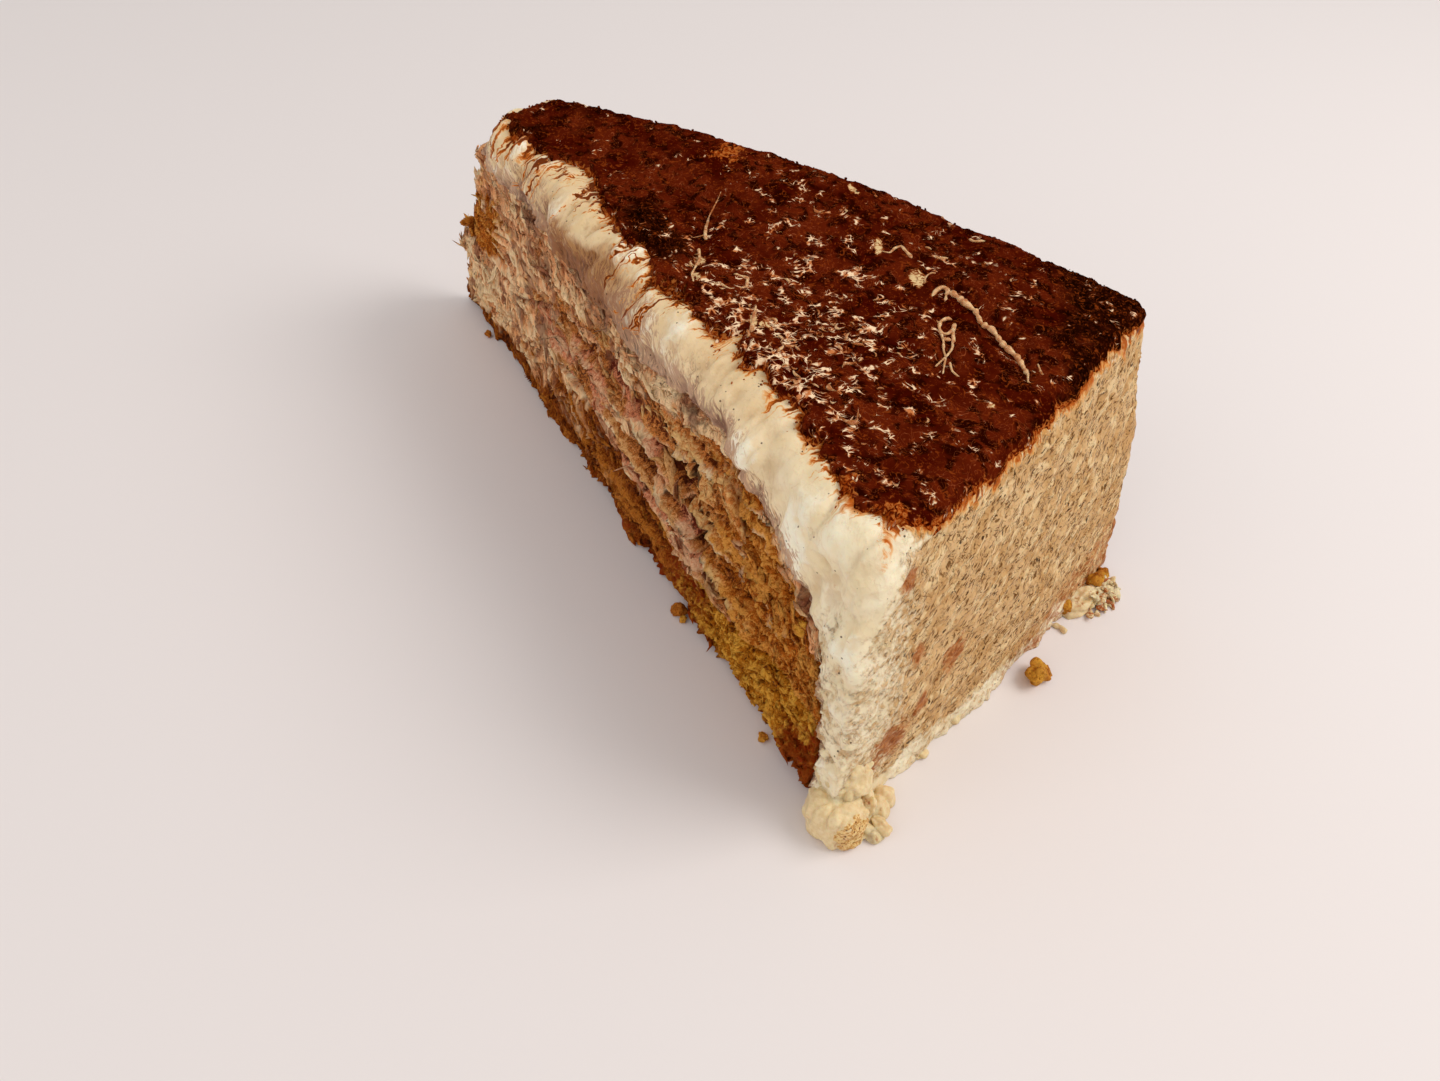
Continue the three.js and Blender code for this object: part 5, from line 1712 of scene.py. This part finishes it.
def make_floor():
    """A plain pale floor just under the slice."""
    mesh = bpy.data.meshes.new("floor")
    corners = [(x * FLOOR_HALF, y * FLOOR_HALF, FLOOR_LEVEL) for x, y in ((-1, -1), (1, -1), (1, 1), (-1, 1))]
    mesh.from_pydata(corners, [], [(0, 1, 2, 3)])
    floor = bpy.data.objects.new("floor", mesh)
    bpy.context.scene.collection.objects.link(floor)
    material, _, shader = new_material("floor_paint")
    shader.inputs["Base Color"].default_value = srgb(236, 228, 226)
    shader.inputs["Roughness"].default_value = 0.7
    mesh.materials.append(material)


make_camera()
make_light()
make_floor()

base_material = sponge_material(
    "golden_sponge",
    plain=((66, 20, 0), (144, 67, 10), (204, 122, 42)),
    golden=((84, 32, 0), (194, 114, 18), (248, 182, 70)),
    smeared=((176, 104, 60), (244, 176, 120), (255, 212, 158)),
    crust_and_shade=(144, 42, 0),
)
upper_material = sponge_material(
    "soaked_sponge",
    plain=((100, 36, 8), (228, 138, 66), (255, 204, 134)),
    golden=((80, 26, 0), (190, 98, 20), (244, 168, 76)),
    smeared=((168, 98, 60), (244, 174, 120), (255, 212, 160)),
    crust_and_shade=(48, 14, 10),
)
filling_material = sponge_material(
    "soaked_filling",
    plain=((84, 30, 6), (204, 120, 54), (250, 188, 120)),
    golden=((110, 38, 18), (234, 144, 100), (255, 198, 152)),
    smeared=((182, 110, 66), (254, 188, 134), (255, 220, 170)),
    crust_and_shade=(60, 16, 8),
)

# flakes is their number, flake their half sizes, and a low crowding gathers them at the layer's top.
LAYERS = (
    {
        "name": "bottom_sponge", "node": "sponge_base", "slot": "golden_sponge", "material": base_material,
        "last_column": BEND_END_COLUMN, "per_side": 480, "rows": 46,
        "low_at": lambda column: layer_levels(column)[0], "high_at": lambda column: layer_levels(column)[1],
        "relief_at": base_relief, "masks_at": base_masks,
        "flakes": 1100, "flake": (0.8, 0.26, 0.2), "crowding": 1.0,
    },
    {
        "name": "folded_filling", "node": "cream_filling", "slot": "soaked_filling",
        "material": filling_material, "last_column": FILLING_END_COLUMN + 0.8, "per_side": 400, "rows": 46,
        "low_at": lambda column: layer_levels(column)[1], "high_at": lambda column: layer_levels(column)[2],
        "relief_at": filling_relief, "masks_at": filling_masks,
        "flakes": 700, "flake": (1.4, 0.3, 0.18), "crowding": 1.0,
    },
    {
        "name": "soaked_sponge", "node": "sponge_upper", "slot": "soaked_sponge", "material": upper_material,
        "last_column": BEND_END_COLUMN, "per_side": 500, "rows": 84,
        "low_at": lambda column: layer_levels(column)[2], "high_at": outline,
        "relief_at": upper_relief, "masks_at": upper_masks,
        "flakes": 1900, "flake": (1.2, 0.26, 0.16), "crowding": 0.55,
    },
)
FIRST_FLAKE_SEED = 400
for number, layer in enumerate(LAYERS):
    finish_piece(layer_piece(layer), layer["material"], layer["slot"], layer["node"])
    flakes = cut_flakes(layer["name"] + "_flakes", layer["flakes"], layer, FIRST_FLAKE_SEED + number)
    finish_piece(flakes, layer["material"], layer["slot"])

finish_piece(cream_coat(), cream_material(), "mascarpone_cream", "cream_frosting")
squeezed = squeezed_material("squeezed_cream", (226, 198, 148), (244, 222, 178))
for piece in (cream_lumps(), foot_cluster()):
    finish_piece(piece, squeezed, "mascarpone_cream")
stained = squeezed_material("stained_cream", (184, 116, 64), (240, 194, 144))
for piece in (cream_strands(), cream_flecks()):
    finish_piece(piece, stained, "mascarpone_cream")
finish_piece(loose_crumbs(), base_material, "golden_sponge")
powder = cocoa_material()
finish_piece(cocoa_sheet(), powder, "cocoa", "cocoa_top")
finish_piece(cocoa_grains(), powder, "cocoa")
